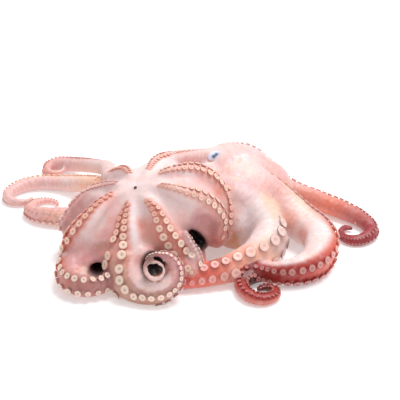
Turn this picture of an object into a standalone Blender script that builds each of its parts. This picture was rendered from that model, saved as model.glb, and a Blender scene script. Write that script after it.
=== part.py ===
"""One whole octopus, laid out as it is sold: the arm ring domed up with the mouth on top.

All lengths are millimetres until a point is stored, +Z is up and the table is the plane z = 0.
The front of the animal, where two arms are rolled up, faces -Y.  The arm ring is a web
stretched over eight ribs; every arm is a swept, D-sectioned, tapering tube that starts at the
mouth, follows its rib and then runs free.  Head and mantle lie behind the arm ring.  The
forms are melted into one skin, the pockets between the curls are sunk into it and the
underside is cut flat where it lies on the table.
"""

import math

import bmesh
import bpy
from mathutils import Matrix, Vector

MM = 0.001
ACROSS = Vector((1.0, 0.0, 0.0))
CENTRE = Vector((-5.3, 17.2, 0.0))      # middle of the animal's length and depth in this layout
VOXEL = 3.0                              # melt resolution of the skin
MELT_PASSES = 5
TRIANGLES = 9000                         # target for the finished skin
TABLE_WIDTH = 900.0
TABLE_DEPTH = 100.0
TUBE_RING = 16                           # points round an arm
TUBE_STEP = 4.0                          # spacing of the rings along an arm
ARM_FLAT = 0.78                          # depth of the sucker side over its width

# The mouth and the eight ribs under the web, each a run of surface points down to the hem.
MOUTH = (-64, -60, 103)
RIBS = {
    "a": [(-86, -61, 97), (-105, -72, 88), (-122, -84, 73), (-138, -90, 54), (-147, -88, 32), (-142, -88, 8)],
    "b": [(-71, -74, 93), (-77, -88, 80), (-80, -102, 65), (-82, -112, 50), (-84, -119, 32), (-82, -124, 8)],
    "c": [(-51, -80, 99), (-38, -94, 89), (-29, -106, 73), (-19, -112, 57), (-7, -113, 38), (2, -106, 12)],
    "d": [(-38, -66, 110), (-12, -76, 109), (12, -76, 101), (30, -68, 85), (42, -62, 62), (42, -62, 36)],
    "e": [(-38, -48, 115), (-12, -42, 119), (12, -32, 113), (33, -24, 94), (46, -28, 68), (48, -40, 34)],
    "h": [(-50, -32, 113), (-42, -8, 117), (-30, 8, 117), (-14, 34, 80), (-8, 42, 48), (-6, 44, 8)],
    "g": [(-70, -34, 112), (-78, -10, 114), (-90, 8, 100), (-98, 20, 74), (-102, 27, 44), (-100, 30, 8)],
    "f": [(-83, -46, 103), (-104, -22, 92), (-124, -16, 82), (-144, -24, 66), (-156, -40, 42), (-154, -48, 8)],
}
RIB_ORDER = "abcdehgf"
WEB_SINK = 6.0                           # the web lies this far under the arms' sucker line
WEB_SAG = 6.0                            # and sinks this much more between two ribs
WEB_STEPS = 10                           # columns from one rib to the next
WEB_ROWS = 26
WEB_FLOOR = (-55, -38, 4)
WEB_CORE = (-55, -38, 34)                # the arms' sucker sides face away from this point

# Free runs: x, y, z of the centre line and the half width there.  OUT gives the sucker side.
RIB_SINK = 0.75                          # share of the half width that lies under the rib line
FREE = {
    "a": [(-140, -112, 20, 14.5), (-134, -127, 17, 15), (-119, -134, 16, 15), (-102, -133, 15, 14),
          (-90, -124, 14, 13), (-84, -100, 13, 12), (-100, -50, 14, 12), (-124, 5, 14, 12),
          (-148, 30, 13, 12), (-167, 34, 12, 11.5), (-186, 40, 11, 10.5), (-200, 54, 8.5, 8.5),
          (-201, 73, 6, 6), (-193, 85, 5.5, 5.2), (-180, 89, 5, 4.5), (-170, 86, 4.5, 4), (-167, 78, 4, 3.5)],
    "c": [(0, -112, 26, 14), (0, -116, 16, 12), (-14, -118, 13, 9)],
    "d": [(30, 10, 60, 20), (56, -6, 60, 24), (81, -19, 46, 26), (95, -38, 32, 24), (90, -62, 26, 23),
          (75, -82, 22, 20), (52, -97, 18, 17.5), (29, -108, 16, 15), (6, -116, 14, 12.5), (-12, -121, 12, 10)],
    "e": [(40, 34, 60, 20), (66, 28, 64, 24), (92, 24, 56, 26), (116, 15, 42, 26), (137, 1, 30, 26),
          (153, -23, 24, 24), (156, -57, 21, 22), (144, -88, 18, 19.5), (124, -103, 16, 16.5),
          (103, -105, 14, 14), (83, -100, 12, 12), (68, -107, 11, 11), (60, -124, 10, 10), (67, -143, 9, 9),
          (83, -150, 8, 8.5), (96, -140, 7, 7.5), (95, -127, 6, 6), (85, -122, 6, 5), (78, -127, 5, 4)],
    "f": [(-140, -10, 30, 14), (-126, 30, 30, 16), (-116, 62, 30, 18), (-128, 96, 22, 17), (-144, 120, 16, 14.5),
          (-168, 132, 13, 13), (-195, 135, 11, 11.5), (-214, 129, 9, 10), (-228, 114, 8, 9),
          (-233, 99, 7, 7.5), (-228, 86, 6, 6.5), (-215, 81, 6, 5.5), (-204, 88, 5, 4.2), (-201, 99, 4, 3.4)],
    "g": [(-94, 30, 78, 12), (-98, 62, 62, 14), (-104, 100, 46, 14), (-120, 134, 29, 13), (-140, 160, 17, 12),
          (-158, 177, 12, 10), (-175, 184, 10, 9), (-188, 178, 8, 8), (-188, 164, 7, 6), (-175, 160, 7, 5),
          (-165, 168, 8, 4)],
    "h": [(-16, 24, 102, 10), (-2, 38, 96, 11), (14, 52, 89, 12), (34, 66, 82, 15), (62, 80, 78, 17),
          (88, 86, 60, 17), (108, 92, 40, 16), (130, 90, 23, 15.5), (152, 76, 17, 15), (175, 60, 14, 14),
          (195, 45, 12, 13), (213, 26, 10, 11), (221, 6, 8.5, 9.5), (212, -11, 7.5, 8), (198, -17, 6.5, 7),
          (185, -9, 6, 6), (182, 7, 5, 5), (189, 20, 5, 4), (197, 16, 5, 3.4)],
}
OUT = {
    "a": (-0.35, -0.75, 0.25), "c": (0.6, -0.7, 0.4), "d": (0.1, -0.3, 0.95), "e": (-0.1, -0.1, 1.0),
    "f": (-0.1, 0.5, 0.7), "g": (0.0, 0.6, 0.7), "h": (0.3, 0.5, 0.8),
}
RIB_WIDTH = (4.0, 7.5, 10.5, 12.5, 14.0, 15.0)
RIB_STOUT = {"a": 1.15, "b": 1.35, "c": 1.1}   # front arms are stouter
RIB_LEAN = {"a": 0.3, "b": 0.55, "c": 0.3}     # and show a broad flank on the side towards +X

RIB_KEPT = {"a": 5, "b": 5, "c": 5, "d": 6, "e": 6, "f": 5, "g": 3, "h": 3}
FOLDED = "de"                            # arms folded under the hem; the free part comes out behind it

# Arm b is rolled up flat in a plane that leans back on the arm ring.
ROLL_CENTRE = (-37, -134, 31)
ROLL_UP = (0.0, 0.30, 0.954)
# Degrees (180 is the side towards arm a), radius of the centre line and half width.
ROLL_TURN = [(190, 47, 13.5), (225, 36, 13.5), (270, 25.5, 13), (315, 24, 12.5), (360, 22, 11.5),
             (405, 18, 9.5), (450, 14.5, 7.5), (495, 13, 6), (540, 12, 5), (630, 11, 4.2), (720, 10, 3.6)]

# Head and mantle: centre, radii and turn about Z in degrees.
BULKS = [
    ((54, 64, 42), (56, 46, 53), -18),
    ((84, 62, 34), (44, 38, 42), -30),
    ((20, 44, 44), (44, 34, 38), 10),
    ((0, 102, 27), (76, 44, 29), 12),
    ((-50, -34, 46), (82, 70, 50), 0),
    ((54, -14, 34), (34, 34, 36), 0),
    ((11, -91, 34), (16, 20, 22), 0),
    ((-114, -99, 30), (30, 22, 27), 0),
    ((-50, -122, 33), (30, 14, 27), 0),
]

# Pockets between the curls: centre, radii, direction of the inward radius and roll about it.
POCKETS = [
    ((-99, -112, 36), (15, 36, 8), (0.1, 1.0, -0.1), 0),
    ((8, -96, 52), (9, 34, 20), (-0.35, 0.93, -0.1), 38),
    ((-37, -136, 32), (7.5, 34, 7.5), (0.0, 1.0, -0.25), 0),
]


def clear_scene():
    """Start from an empty scene."""
    for thing in list(bpy.data.objects):
        bpy.data.objects.remove(thing, do_unlink=True)


def spline(points, step):
    """Resample a run of number tuples with a centripetal-like Catmull-Rom curve."""
    found = []
    last = len(points) - 1
    for i in range(last):
        p0, p1 = points[max(i - 1, 0)], points[i]
        p2, p3 = points[i + 1], points[min(i + 2, last)]
        length = math.dist(p1[:3], p2[:3])
        count = max(1, round(length / step))
        for k in range(count):
            t = k / count
            found.append(tuple(
                0.5 * (2 * b + (c - a) * t + (2 * a - 5 * b + 4 * c - d) * t * t
                       + (3 * b - a - 3 * c + d) * t ** 3)
                for a, b, c, d in zip(p0, p1, p2, p3)))
    found.append(tuple(points[last]))
    return found


def add_tube(bm, stations):
    """Sweep a D section along stations of x, y, z, half width and sucker direction x, y, z."""
    path = spline(stations, TUBE_STEP)
    rings = []
    for i, here in enumerate(path):
        ahead, behind = path[min(i + 1, len(path) - 1)], path[max(i - 1, 0)]
        along = (Vector(ahead[:3]) - Vector(behind[:3])).normalized()
        out = Vector(here[4:7])
        out = (out - along * out.dot(along)).normalized()
        side = along.cross(out)
        width = max(here[3], 2.0)
        ring = []
        for k in range(TUBE_RING):
            turn = 2 * math.pi * k / TUBE_RING
            depth = width * (ARM_FLAT if math.sin(turn) > 0 else 1.0)
            spot = Vector(here[:3]) + side * width * math.cos(turn) + out * depth * math.sin(turn)
            ring.append(bm.verts.new(spot))
        rings.append(ring)
    for lower, upper in zip(rings, rings[1:]):
        for k in range(TUBE_RING):
            j = (k + 1) % TUBE_RING
            bm.faces.new((lower[k], upper[k], upper[j], lower[j]))
    for ring, way in ((rings[0], -1), (rings[-1], 1)):
        inner = path[0] if way < 0 else path[-1]
        other = path[1] if way < 0 else path[-2]
        axis = (Vector(inner[:3]) - Vector(other[:3])).normalized()
        pole = bm.verts.new(Vector(inner[:3]) + axis * max(inner[3], 2.0) * 0.8)
        for k in range(TUBE_RING):
            j = (k + 1) % TUBE_RING
            corner = (ring[k], ring[j], pole) if way > 0 else (ring[j], ring[k], pole)
            bm.faces.new(corner)


def rib_out(name, index):
    """Direction pointing out of the arm ring at one rib point."""
    point = Vector(RIBS[name][index])
    core = Vector(WEB_CORE)
    return (point - core).normalized()


def on_rib(name):
    """Arm stations that follow a rib, sunk a little under the web line."""
    start = Vector(MOUTH)
    run = []
    for i, point in enumerate(RIBS[name]):
        out = rib_out(name, i)
        width = RIB_WIDTH[i] * RIB_STOUT.get(name, 1.0)
        if i == 0:
            run.append((*(start.lerp(Vector(point), 0.35) - out * 6.0), 4.0, *out))
        flank = (ACROSS - out * ACROSS.dot(out)).normalized()
        spot = Vector(point) - out * width * RIB_SINK + flank * width * RIB_LEAN.get(name, 0.0)
        run.append((*spot, width, *out))
    return run


def free_run(name):
    """Arm stations of the free part, with the sucker side turning towards OUT."""
    out = Vector(OUT[name]).normalized()
    return [(*row[:3], row[3], *out) for row in FREE[name]]


def roll_run():
    """The rolled-up free part of arm b: suckers on the rim, the flank facing forward."""
    centre, upward = Vector(ROLL_CENTRE), Vector(ROLL_UP).normalized()
    run = []
    for degrees, radius, width in ROLL_TURN:
        turn = math.radians(degrees)
        out = ACROSS * math.cos(turn) + upward * math.sin(turn)
        run.append((*(centre + out * radius), width, *out))
    return run


def add_arms(bm):
    """All eight arms, each leaving its rib after RIB_KEPT points."""
    for name in RIB_ORDER:
        run = on_rib(name)[:RIB_KEPT[name] + 1]
        if name in FOLDED:
            add_tube(bm, run)
            run = []
        run += roll_run() if name == "b" else free_run(name)
        add_tube(bm, run)


def add_web(bm):
    """The domed web over the ribs, closed underneath."""
    count = len(RIB_ORDER)
    columns = []
    for r in range(count):
        for s in range(WEB_STEPS):
            t = s / WEB_STEPS
            names = [RIB_ORDER[(r + k) % count] for k in (-1, 0, 1, 2)]
            rows = [[Vector(MOUTH)] + [Vector(p) for p in RIBS[n]] for n in names]
            line = []
            for a, b, c, d in zip(*rows):
                line.append(0.5 * (2 * b + (c - a) * t + (2 * a - 5 * b + 4 * c - d) * t * t
                                   + (3 * b - a - 3 * c + d) * t ** 3))
            fine = spline([tuple(p) for p in line], 4.0)
            sag = WEB_SAG * math.sin(math.pi * t) ** 2
            column = []
            for k in range(1, WEB_ROWS + 1):
                where = k / WEB_ROWS * (len(fine) - 1)
                i = min(int(where), len(fine) - 2)
                spot = Vector(fine[i]).lerp(Vector(fine[i + 1]), where - i)
                inward = (Vector(WEB_CORE) - spot).normalized()
                column.append(bm.verts.new(spot + inward * (WEB_SINK * min(1.0, 0.3 + k / 12) + sag * min(1.0, k / 16))))
            columns.append(column)
    top = bm.verts.new(Vector(MOUTH) - Vector((0, 0, 4.0)))
    floor = bm.verts.new(WEB_FLOOR)
    total = len(columns)
    for c in range(total):
        this, following = columns[c], columns[(c + 1) % total]
        bm.faces.new((top, this[0], following[0]))
        bm.faces.new((floor, following[-1], this[-1]))
        for k in range(WEB_ROWS - 1):
            bm.faces.new((this[k], this[k + 1], following[k + 1], following[k]))


def add_bulk(bm, centre, radii, turn):
    """One ellipsoid of the head or mantle."""
    place = (Matrix.Translation(centre) @ Matrix.Rotation(math.radians(turn), 4, "Z")
             @ Matrix.Diagonal((*radii, 1.0)))
    bmesh.ops.create_icosphere(bm, subdivisions=4, radius=1.0, matrix=place)


def new_object(name, bm, colour=None):
    """Store a mesh in metres, centred on the animal's length and depth."""
    bmesh.ops.translate(bm, verts=bm.verts, vec=-CENTRE)
    bmesh.ops.scale(bm, verts=bm.verts, vec=(MM, MM, MM))
    bmesh.ops.recalc_face_normals(bm, faces=bm.faces)
    mesh = bpy.data.meshes.new(name)
    bm.to_mesh(mesh)
    bm.free()
    made = bpy.data.objects.new(name, mesh)
    bpy.context.scene.collection.objects.link(made)
    if colour:
        skin = bpy.data.materials.new(name)
        skin.use_nodes = True
        shader = skin.node_tree.nodes["Principled BSDF"]
        shader.inputs["Base Color"].default_value = colour
        shader.inputs["Roughness"].default_value = 0.35
        shader.inputs["Metallic"].default_value = 0.0
        mesh.materials.append(skin)
    return made


def cutter(name, bm):
    """A hidden solid that only takes material away."""
    made = new_object(name, bm)
    made.hide_render = True
    made.display_type = "WIRE"
    return made


def pocket_cutter():
    """Ellipsoids sunk between the curls."""
    bm = bmesh.new()
    for centre, radii, inward, roll in POCKETS:
        forward = Vector(inward).normalized()
        side = forward.cross(Vector((0, 0, 1))).normalized()
        upward = side.cross(forward)
        turn = Matrix((side, forward, upward)).transposed().to_4x4() @ Matrix.Rotation(math.radians(roll), 4, "Y")
        place = Matrix.Translation(centre) @ turn @ Matrix.Diagonal((*radii, 1.0))
        bmesh.ops.create_icosphere(bm, subdivisions=3, radius=1.0, matrix=place)
    return cutter("pockets", bm)


def table_cutter():
    """Everything below the table plane."""
    bm = bmesh.new()
    place = Matrix.Translation((0, 0, -TABLE_DEPTH / 2)) @ Matrix.Diagonal((TABLE_WIDTH, TABLE_WIDTH, TABLE_DEPTH, 1))
    bmesh.ops.create_cube(bm, size=1.0, matrix=place)
    return cutter("table_plane", bm)


def build():
    """Model the octopus."""
    clear_scene()
    bm = bmesh.new()
    add_web(bm)
    add_arms(bm)
    for centre, radii, turn in BULKS:
        add_bulk(bm, centre, radii, turn)
    octopus = new_object("octopus", bm, (0.82, 0.50, 0.44, 1.0))
    melt = octopus.modifiers.new("melt", "REMESH")
    melt.mode = "VOXEL"
    melt.voxel_size = VOXEL * MM
    melt.use_smooth_shade = True
    relax = octopus.modifiers.new("relax", "SMOOTH")
    relax.iterations = MELT_PASSES
    relax.factor = 0.5
    sink = octopus.modifiers.new("pockets", "BOOLEAN")
    sink.operation = "DIFFERENCE"
    sink.solver = "EXACT"
    sink.object = pocket_cutter()
    thin = octopus.modifiers.new("thin", "DECIMATE")
    seen = octopus.evaluated_get(bpy.context.evaluated_depsgraph_get()).to_mesh()
    seen.calc_loop_triangles()
    thin.ratio = TRIANGLES / len(seen.loop_triangles)
    rest = octopus.modifiers.new("rest", "BOOLEAN")
    rest.operation = "DIFFERENCE"
    rest.solver = "EXACT"
    rest.object = table_cutter()


build()
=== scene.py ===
"""Dressed model of one whole octopus, laid out as it is sold, arm ring up and two arms curled in front."""

import logging
import math
import random
from dataclasses import dataclass, field
from enum import Enum

import bmesh
import bpy
import numpy as np
from mathutils import Matrix, Vector, noise
from mathutils.bvhtree import BVHTree
from mathutils.kdtree import KDTree


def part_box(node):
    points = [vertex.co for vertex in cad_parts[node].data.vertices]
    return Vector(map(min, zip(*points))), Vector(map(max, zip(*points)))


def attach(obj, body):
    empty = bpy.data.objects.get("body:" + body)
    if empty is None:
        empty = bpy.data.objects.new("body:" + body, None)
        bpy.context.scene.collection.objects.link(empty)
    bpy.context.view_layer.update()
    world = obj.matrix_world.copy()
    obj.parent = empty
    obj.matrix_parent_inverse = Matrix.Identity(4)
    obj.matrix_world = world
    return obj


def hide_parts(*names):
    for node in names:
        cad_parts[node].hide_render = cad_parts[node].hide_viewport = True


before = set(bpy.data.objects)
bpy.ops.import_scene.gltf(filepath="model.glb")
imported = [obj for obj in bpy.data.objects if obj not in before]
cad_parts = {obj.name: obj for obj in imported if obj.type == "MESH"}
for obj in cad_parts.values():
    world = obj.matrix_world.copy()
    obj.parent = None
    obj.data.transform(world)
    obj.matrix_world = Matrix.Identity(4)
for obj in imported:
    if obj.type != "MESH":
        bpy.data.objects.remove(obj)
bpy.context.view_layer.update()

log = logging.getLogger("octopus")

MM = 0.001
NODE = "octopus"
LAYOUT_MIDDLE = Vector((-5.3, 17.0, 0.0))   # middle of the layout's box, in layout millimetres
MOUTH = Vector((-64.0, -60.0, 103.0))
WEB_CORE = Vector((-55.0, -38.0, 34.0))
ACROSS = Vector((1.0, 0.0, 0.0))
LIGHTNESS = 0.95                            # share of the listed tones that the studio light asks for

Run = list[tuple[float, ...]]
Triple = tuple[float, float, float]


class Tone(Enum):
    """Colours of the skin, as display values from 0 to 255."""

    MILK = (244, 229, 229)
    PEARL = (240, 216, 214)
    LILAC = (236, 216, 228)
    BLUSH = (238, 198, 196)
    PETAL = (232, 180, 176)
    SHRIMP = (229, 160, 146)
    SALMON = (226, 136, 116)
    ROSE = (202, 124, 118)
    CORAL = (230, 116, 102)
    BRICK = (168, 52, 46)
    CRIMSON = (160, 58, 66)
    MAUVE = (192, 138, 134)
    MALLOW = (210, 148, 150)
    # PLUM: painted shade round the rims of the pockets
    PLUM = (150, 104, 104)
    PEACH = (254, 212, 190)
    APRICOT = (242, 190, 158)
    TAN = (206, 160, 146)
    TAUPE = (176, 134, 124)
    HONEY = (205, 140, 82)
    CREAM = (253, 230, 212)
    FLESH = (252, 220, 214)
    DUSK = (228, 198, 198)
    MELON = (250, 178, 158)
    # DEEP: painted shade inside the pockets and the curled tip
    DEEP = (44, 26, 26)
    NAVY = (38, 52, 92)
    ICE = (216, 228, 246)

    def linear(self) -> np.ndarray:
        """Give the colour in linear light, from 0 to 1."""
        share = np.array(self.value, float) / 255.0
        return np.where(share <= 0.04045, share / 12.92, ((share + 0.055) / 1.055) ** 2.4) * LIGHTNESS


class ArmName(Enum):
    """The eight arms, in the order in which they stand round the mouth."""

    LEFT_FRONT = "a"
    FRONT = "b"
    FRONT_RIGHT = "c"
    RIGHT = "d"
    RIGHT_BACK = "e"
    BACK = "h"
    BACK_LEFT = "g"
    LEFT = "f"


def deselect() -> None:
    """Leave edit mode and select nothing."""
    if bpy.context.object and bpy.context.object.mode != "OBJECT":
        bpy.ops.object.mode_set(mode="OBJECT")
    bpy.ops.object.select_all(action="DESELECT")


def pick(piece: bpy.types.Object) -> None:
    """Make one object the only selected and the active one.

    Args:
        piece: the object to work on.
    """
    deselect()
    piece.select_set(True)
    bpy.context.view_layer.objects.active = piece


def settle(piece: bpy.types.Object) -> None:
    """Store an object's place, turn and size in its mesh.

    Args:
        piece: the object to settle.
    """
    pick(piece)
    bpy.ops.object.transform_apply(location=True, rotation=True, scale=True)


def fix(piece: bpy.types.Object, modifier: bpy.types.Modifier) -> None:
    """Apply one modifier.

    Args:
        piece: the object that carries it.
        modifier: the modifier to apply.
    """
    pick(piece)
    bpy.ops.object.modifier_apply(modifier=modifier.name)


def join(pieces: list[bpy.types.Object], name: str) -> bpy.types.Object:
    """Join objects into one.

    Args:
        pieces: the objects, the first of which stays.
        name: the name of the result.

    Returns:
        The joined object.
    """
    deselect()
    for piece in pieces:
        piece.select_set(True)
    bpy.context.view_layer.objects.active = pieces[0]
    bpy.ops.object.join()
    pieces[0].name = name
    pieces[0].data.name = name
    return pieces[0]


def curve_through(points: Run, step: float) -> Run:
    """Resample a run of number tuples with a Catmull-Rom curve.

    Args:
        points: tuples that start with x, y and z.
        step: wanted spacing along the curve.

    Returns:
        The denser run.
    """
    found = []
    last = len(points) - 1
    for i in range(last):
        p0, p1 = points[max(i - 1, 0)], points[i]
        p2, p3 = points[i + 1], points[min(i + 2, last)]
        count = max(1, round(math.dist(p1[:3], p2[:3]) / step))
        for k in range(count):
            t = k / count
            found.append(tuple(
                0.5 * (2 * b + (c - a) * t + (2 * a - 5 * b + 4 * c - d) * t * t
                       + (3 * b - a - 3 * c + d) * t ** 3)
                for a, b, c, d in zip(p0, p1, p2, p3)))
    found.append(tuple(points[last]))
    return found


def ease(low: float, high: float, value: np.ndarray) -> np.ndarray:
    """Rise smoothly from 0 at low to 1 at high.

    Args:
        low: where the rise starts.
        high: where it ends.
        value: the numbers to map.

    Returns:
        The eased shares.
    """
    share = np.clip((value - low) / (high - low), 0.0, 1.0)
    return share * share * (3.0 - 2.0 * share)


@dataclass(frozen=True)
class Layout:
    """Turns layout millimetres into the frame's metres."""

    shift: Vector

    @classmethod
    def of_node(cls, node: str) -> "Layout":
        """Fit the layout to a CAD node's box.

        Args:
            node: the node's name.

        Returns:
            The layout.
        """
        low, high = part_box(node)
        middle = Vector(((low.x + high.x) / 2, (low.y + high.y) / 2, low.z))
        return cls(middle - LAYOUT_MIDDLE * MM)

    def metres(self, point: Triple) -> Vector:
        """Place one layout point in the frame."""
        return Vector(point) * MM + self.shift

    def millimetres(self, places: np.ndarray) -> np.ndarray:
        """Give frame positions in layout millimetres."""
        return (places - np.array(self.shift)) / MM


@dataclass(frozen=True)
class ArmPlan:
    """One arm: its rib under the web, its free run and its colours.

    A free station is x, y, z of the centre, half width, sucker direction x, y, z and sucker width.
    """

    name: ArmName
    rib: list[Triple]
    free: Run
    discs: tuple[float, ...]            # sucker widths along the rib
    kept: int = 5                        # rib points that the tube follows
    stout: float = 1.0
    lean: float = 0.0                    # how far a broad flank lies towards +X
    row_shift: float = 0.0               # both sucker rows lie this share of a width to the left
    folded: bool = False                 # the free run comes out from under the hem on its own
    tip: int = 0                         # free station where a rolled tip starts, 0 for none
    frill: Run = ()                      # a thin suckered edge beside the arm
    pale: tuple[float, float] = (1.0, 1.0)   # share of cream in the suckers, from root to tip
    tall: float = 1.3                    # how far the suckers stand out
    stripes: float = 0.05                # strength of the tone's change across the folds
    spread: float = 0.45                 # share of the half width from the middle to a sucker row
    shift: float = 0.0                   # both rows of the free run lie this share to the left
    pitch: float = 0.56                  # step from one sucker to the next, over its width
    side: float = 0.62                   # tone of a cup's side and of its darkened middle, as a share of the skin round it; below 1 it is painted shade, above 1 painted light
    bed: Tone = Tone.SALMON              # skin between the suckers on the rib
    tones: tuple[tuple[float, Tone, Tone], ...] = ((0.0, Tone.PETAL, Tone.SALMON),)

    def rib_widths(self) -> list[float]:
        """Give the half width at each rib point."""
        return [width * self.stout for width in (4.0, 7.5, 10.5, 12.5, 14.0, 15.0)]

    def rib_out(self, index: int) -> Vector:
        """Give the direction out of the arm ring at one rib point."""
        return (Vector(self.rib[index]) - WEB_CORE).normalized()

    def rib_stations(self) -> Run:
        """Give tube stations that follow the rib, sunk a little under the web line."""
        run = []
        for i, point in enumerate(self.rib):
            out = self.rib_out(i)
            width = self.rib_widths()[i]
            if i == 0:
                run.append((*(MOUTH.lerp(Vector(point), 0.35) - out * 6.0), 4.0, *out))
            flank = (ACROSS - out * ACROSS.dot(out)).normalized()
            spot = Vector(point) - out * width * 0.75 + flank * width * self.lean
            run.append((*spot, width, *out))
        return run[:self.kept + 1]

    def tubes(self) -> list[Run]:
        """Give the runs that are swept, one or two of them."""
        free = [row[:7] for row in (self.free[:self.tip + 1] if self.tip else self.free)]
        runs = [self.rib_stations(), free] if self.folded else [self.rib_stations() + free]
        if self.frill:
            runs.append([row[:7] for row in self.frill])
        return runs

    def rolled_tip(self) -> Run:
        """Give the stations of a rolled tip, or none."""
        return [row[:7] for row in self.free[self.tip:]] if self.tip else []

    def lanes(self) -> list[Run]:
        """Give the lines between the sucker rows.

        Returns:
            Runs of x, y, z, sucker direction, half width, sucker width and a mark: 0 on the rib,
            0.3 on the frill and 1 on the free run.
        """
        run = []
        for i, point in enumerate(self.rib[:self.kept + (1 if self.folded else 0)]):
            out = self.rib_out(i)
            width = self.rib_widths()[i]
            flank = (ACROSS - out * ACROSS.dot(out)).normalized()
            spot = Vector(point) - flank * width * self.row_shift
            run.append((*spot, *out, width, self.discs[i], 0.0))
        edge = []
        for line, rows, mark in ((run, self.free, 1.0), (edge, self.frill, 0.3)):
            for row in rows:
                out = Vector(row[4:7]).normalized()
                centre = Vector(row[:3]) + out * row[3] * 0.6
                line.append((*centre, *out, row[3], row[7], mark))
        return [run, edge] if edge else [run]


def roll_stations(centre: Triple, upward: Triple, turns: list[tuple[float, ...]]) -> Run:
    """Lay out an arm that is rolled up flat, its suckers turning from the face to the rim.

    Args:
        centre: middle of the roll.
        upward: direction of the roll's plane that points up.
        turns: degrees, radius, half width, sucker width, degrees by which the suckers face
            forward, and how far the arm stands back, from the outside in.

    Returns:
        The free stations.
    """
    run = []
    lift = Vector(upward).normalized()
    face = ACROSS.cross(lift)
    for degrees, radius, width, disc, facing, back in turns:
        turn, tip = math.radians(degrees), math.radians(facing)
        rim = ACROSS * math.cos(turn) + lift * math.sin(turn)
        out = rim * math.cos(tip) + face * math.sin(tip)
        run.append((*(Vector(centre) + rim * radius - face * back), width, *out, disc))
    return run


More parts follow.
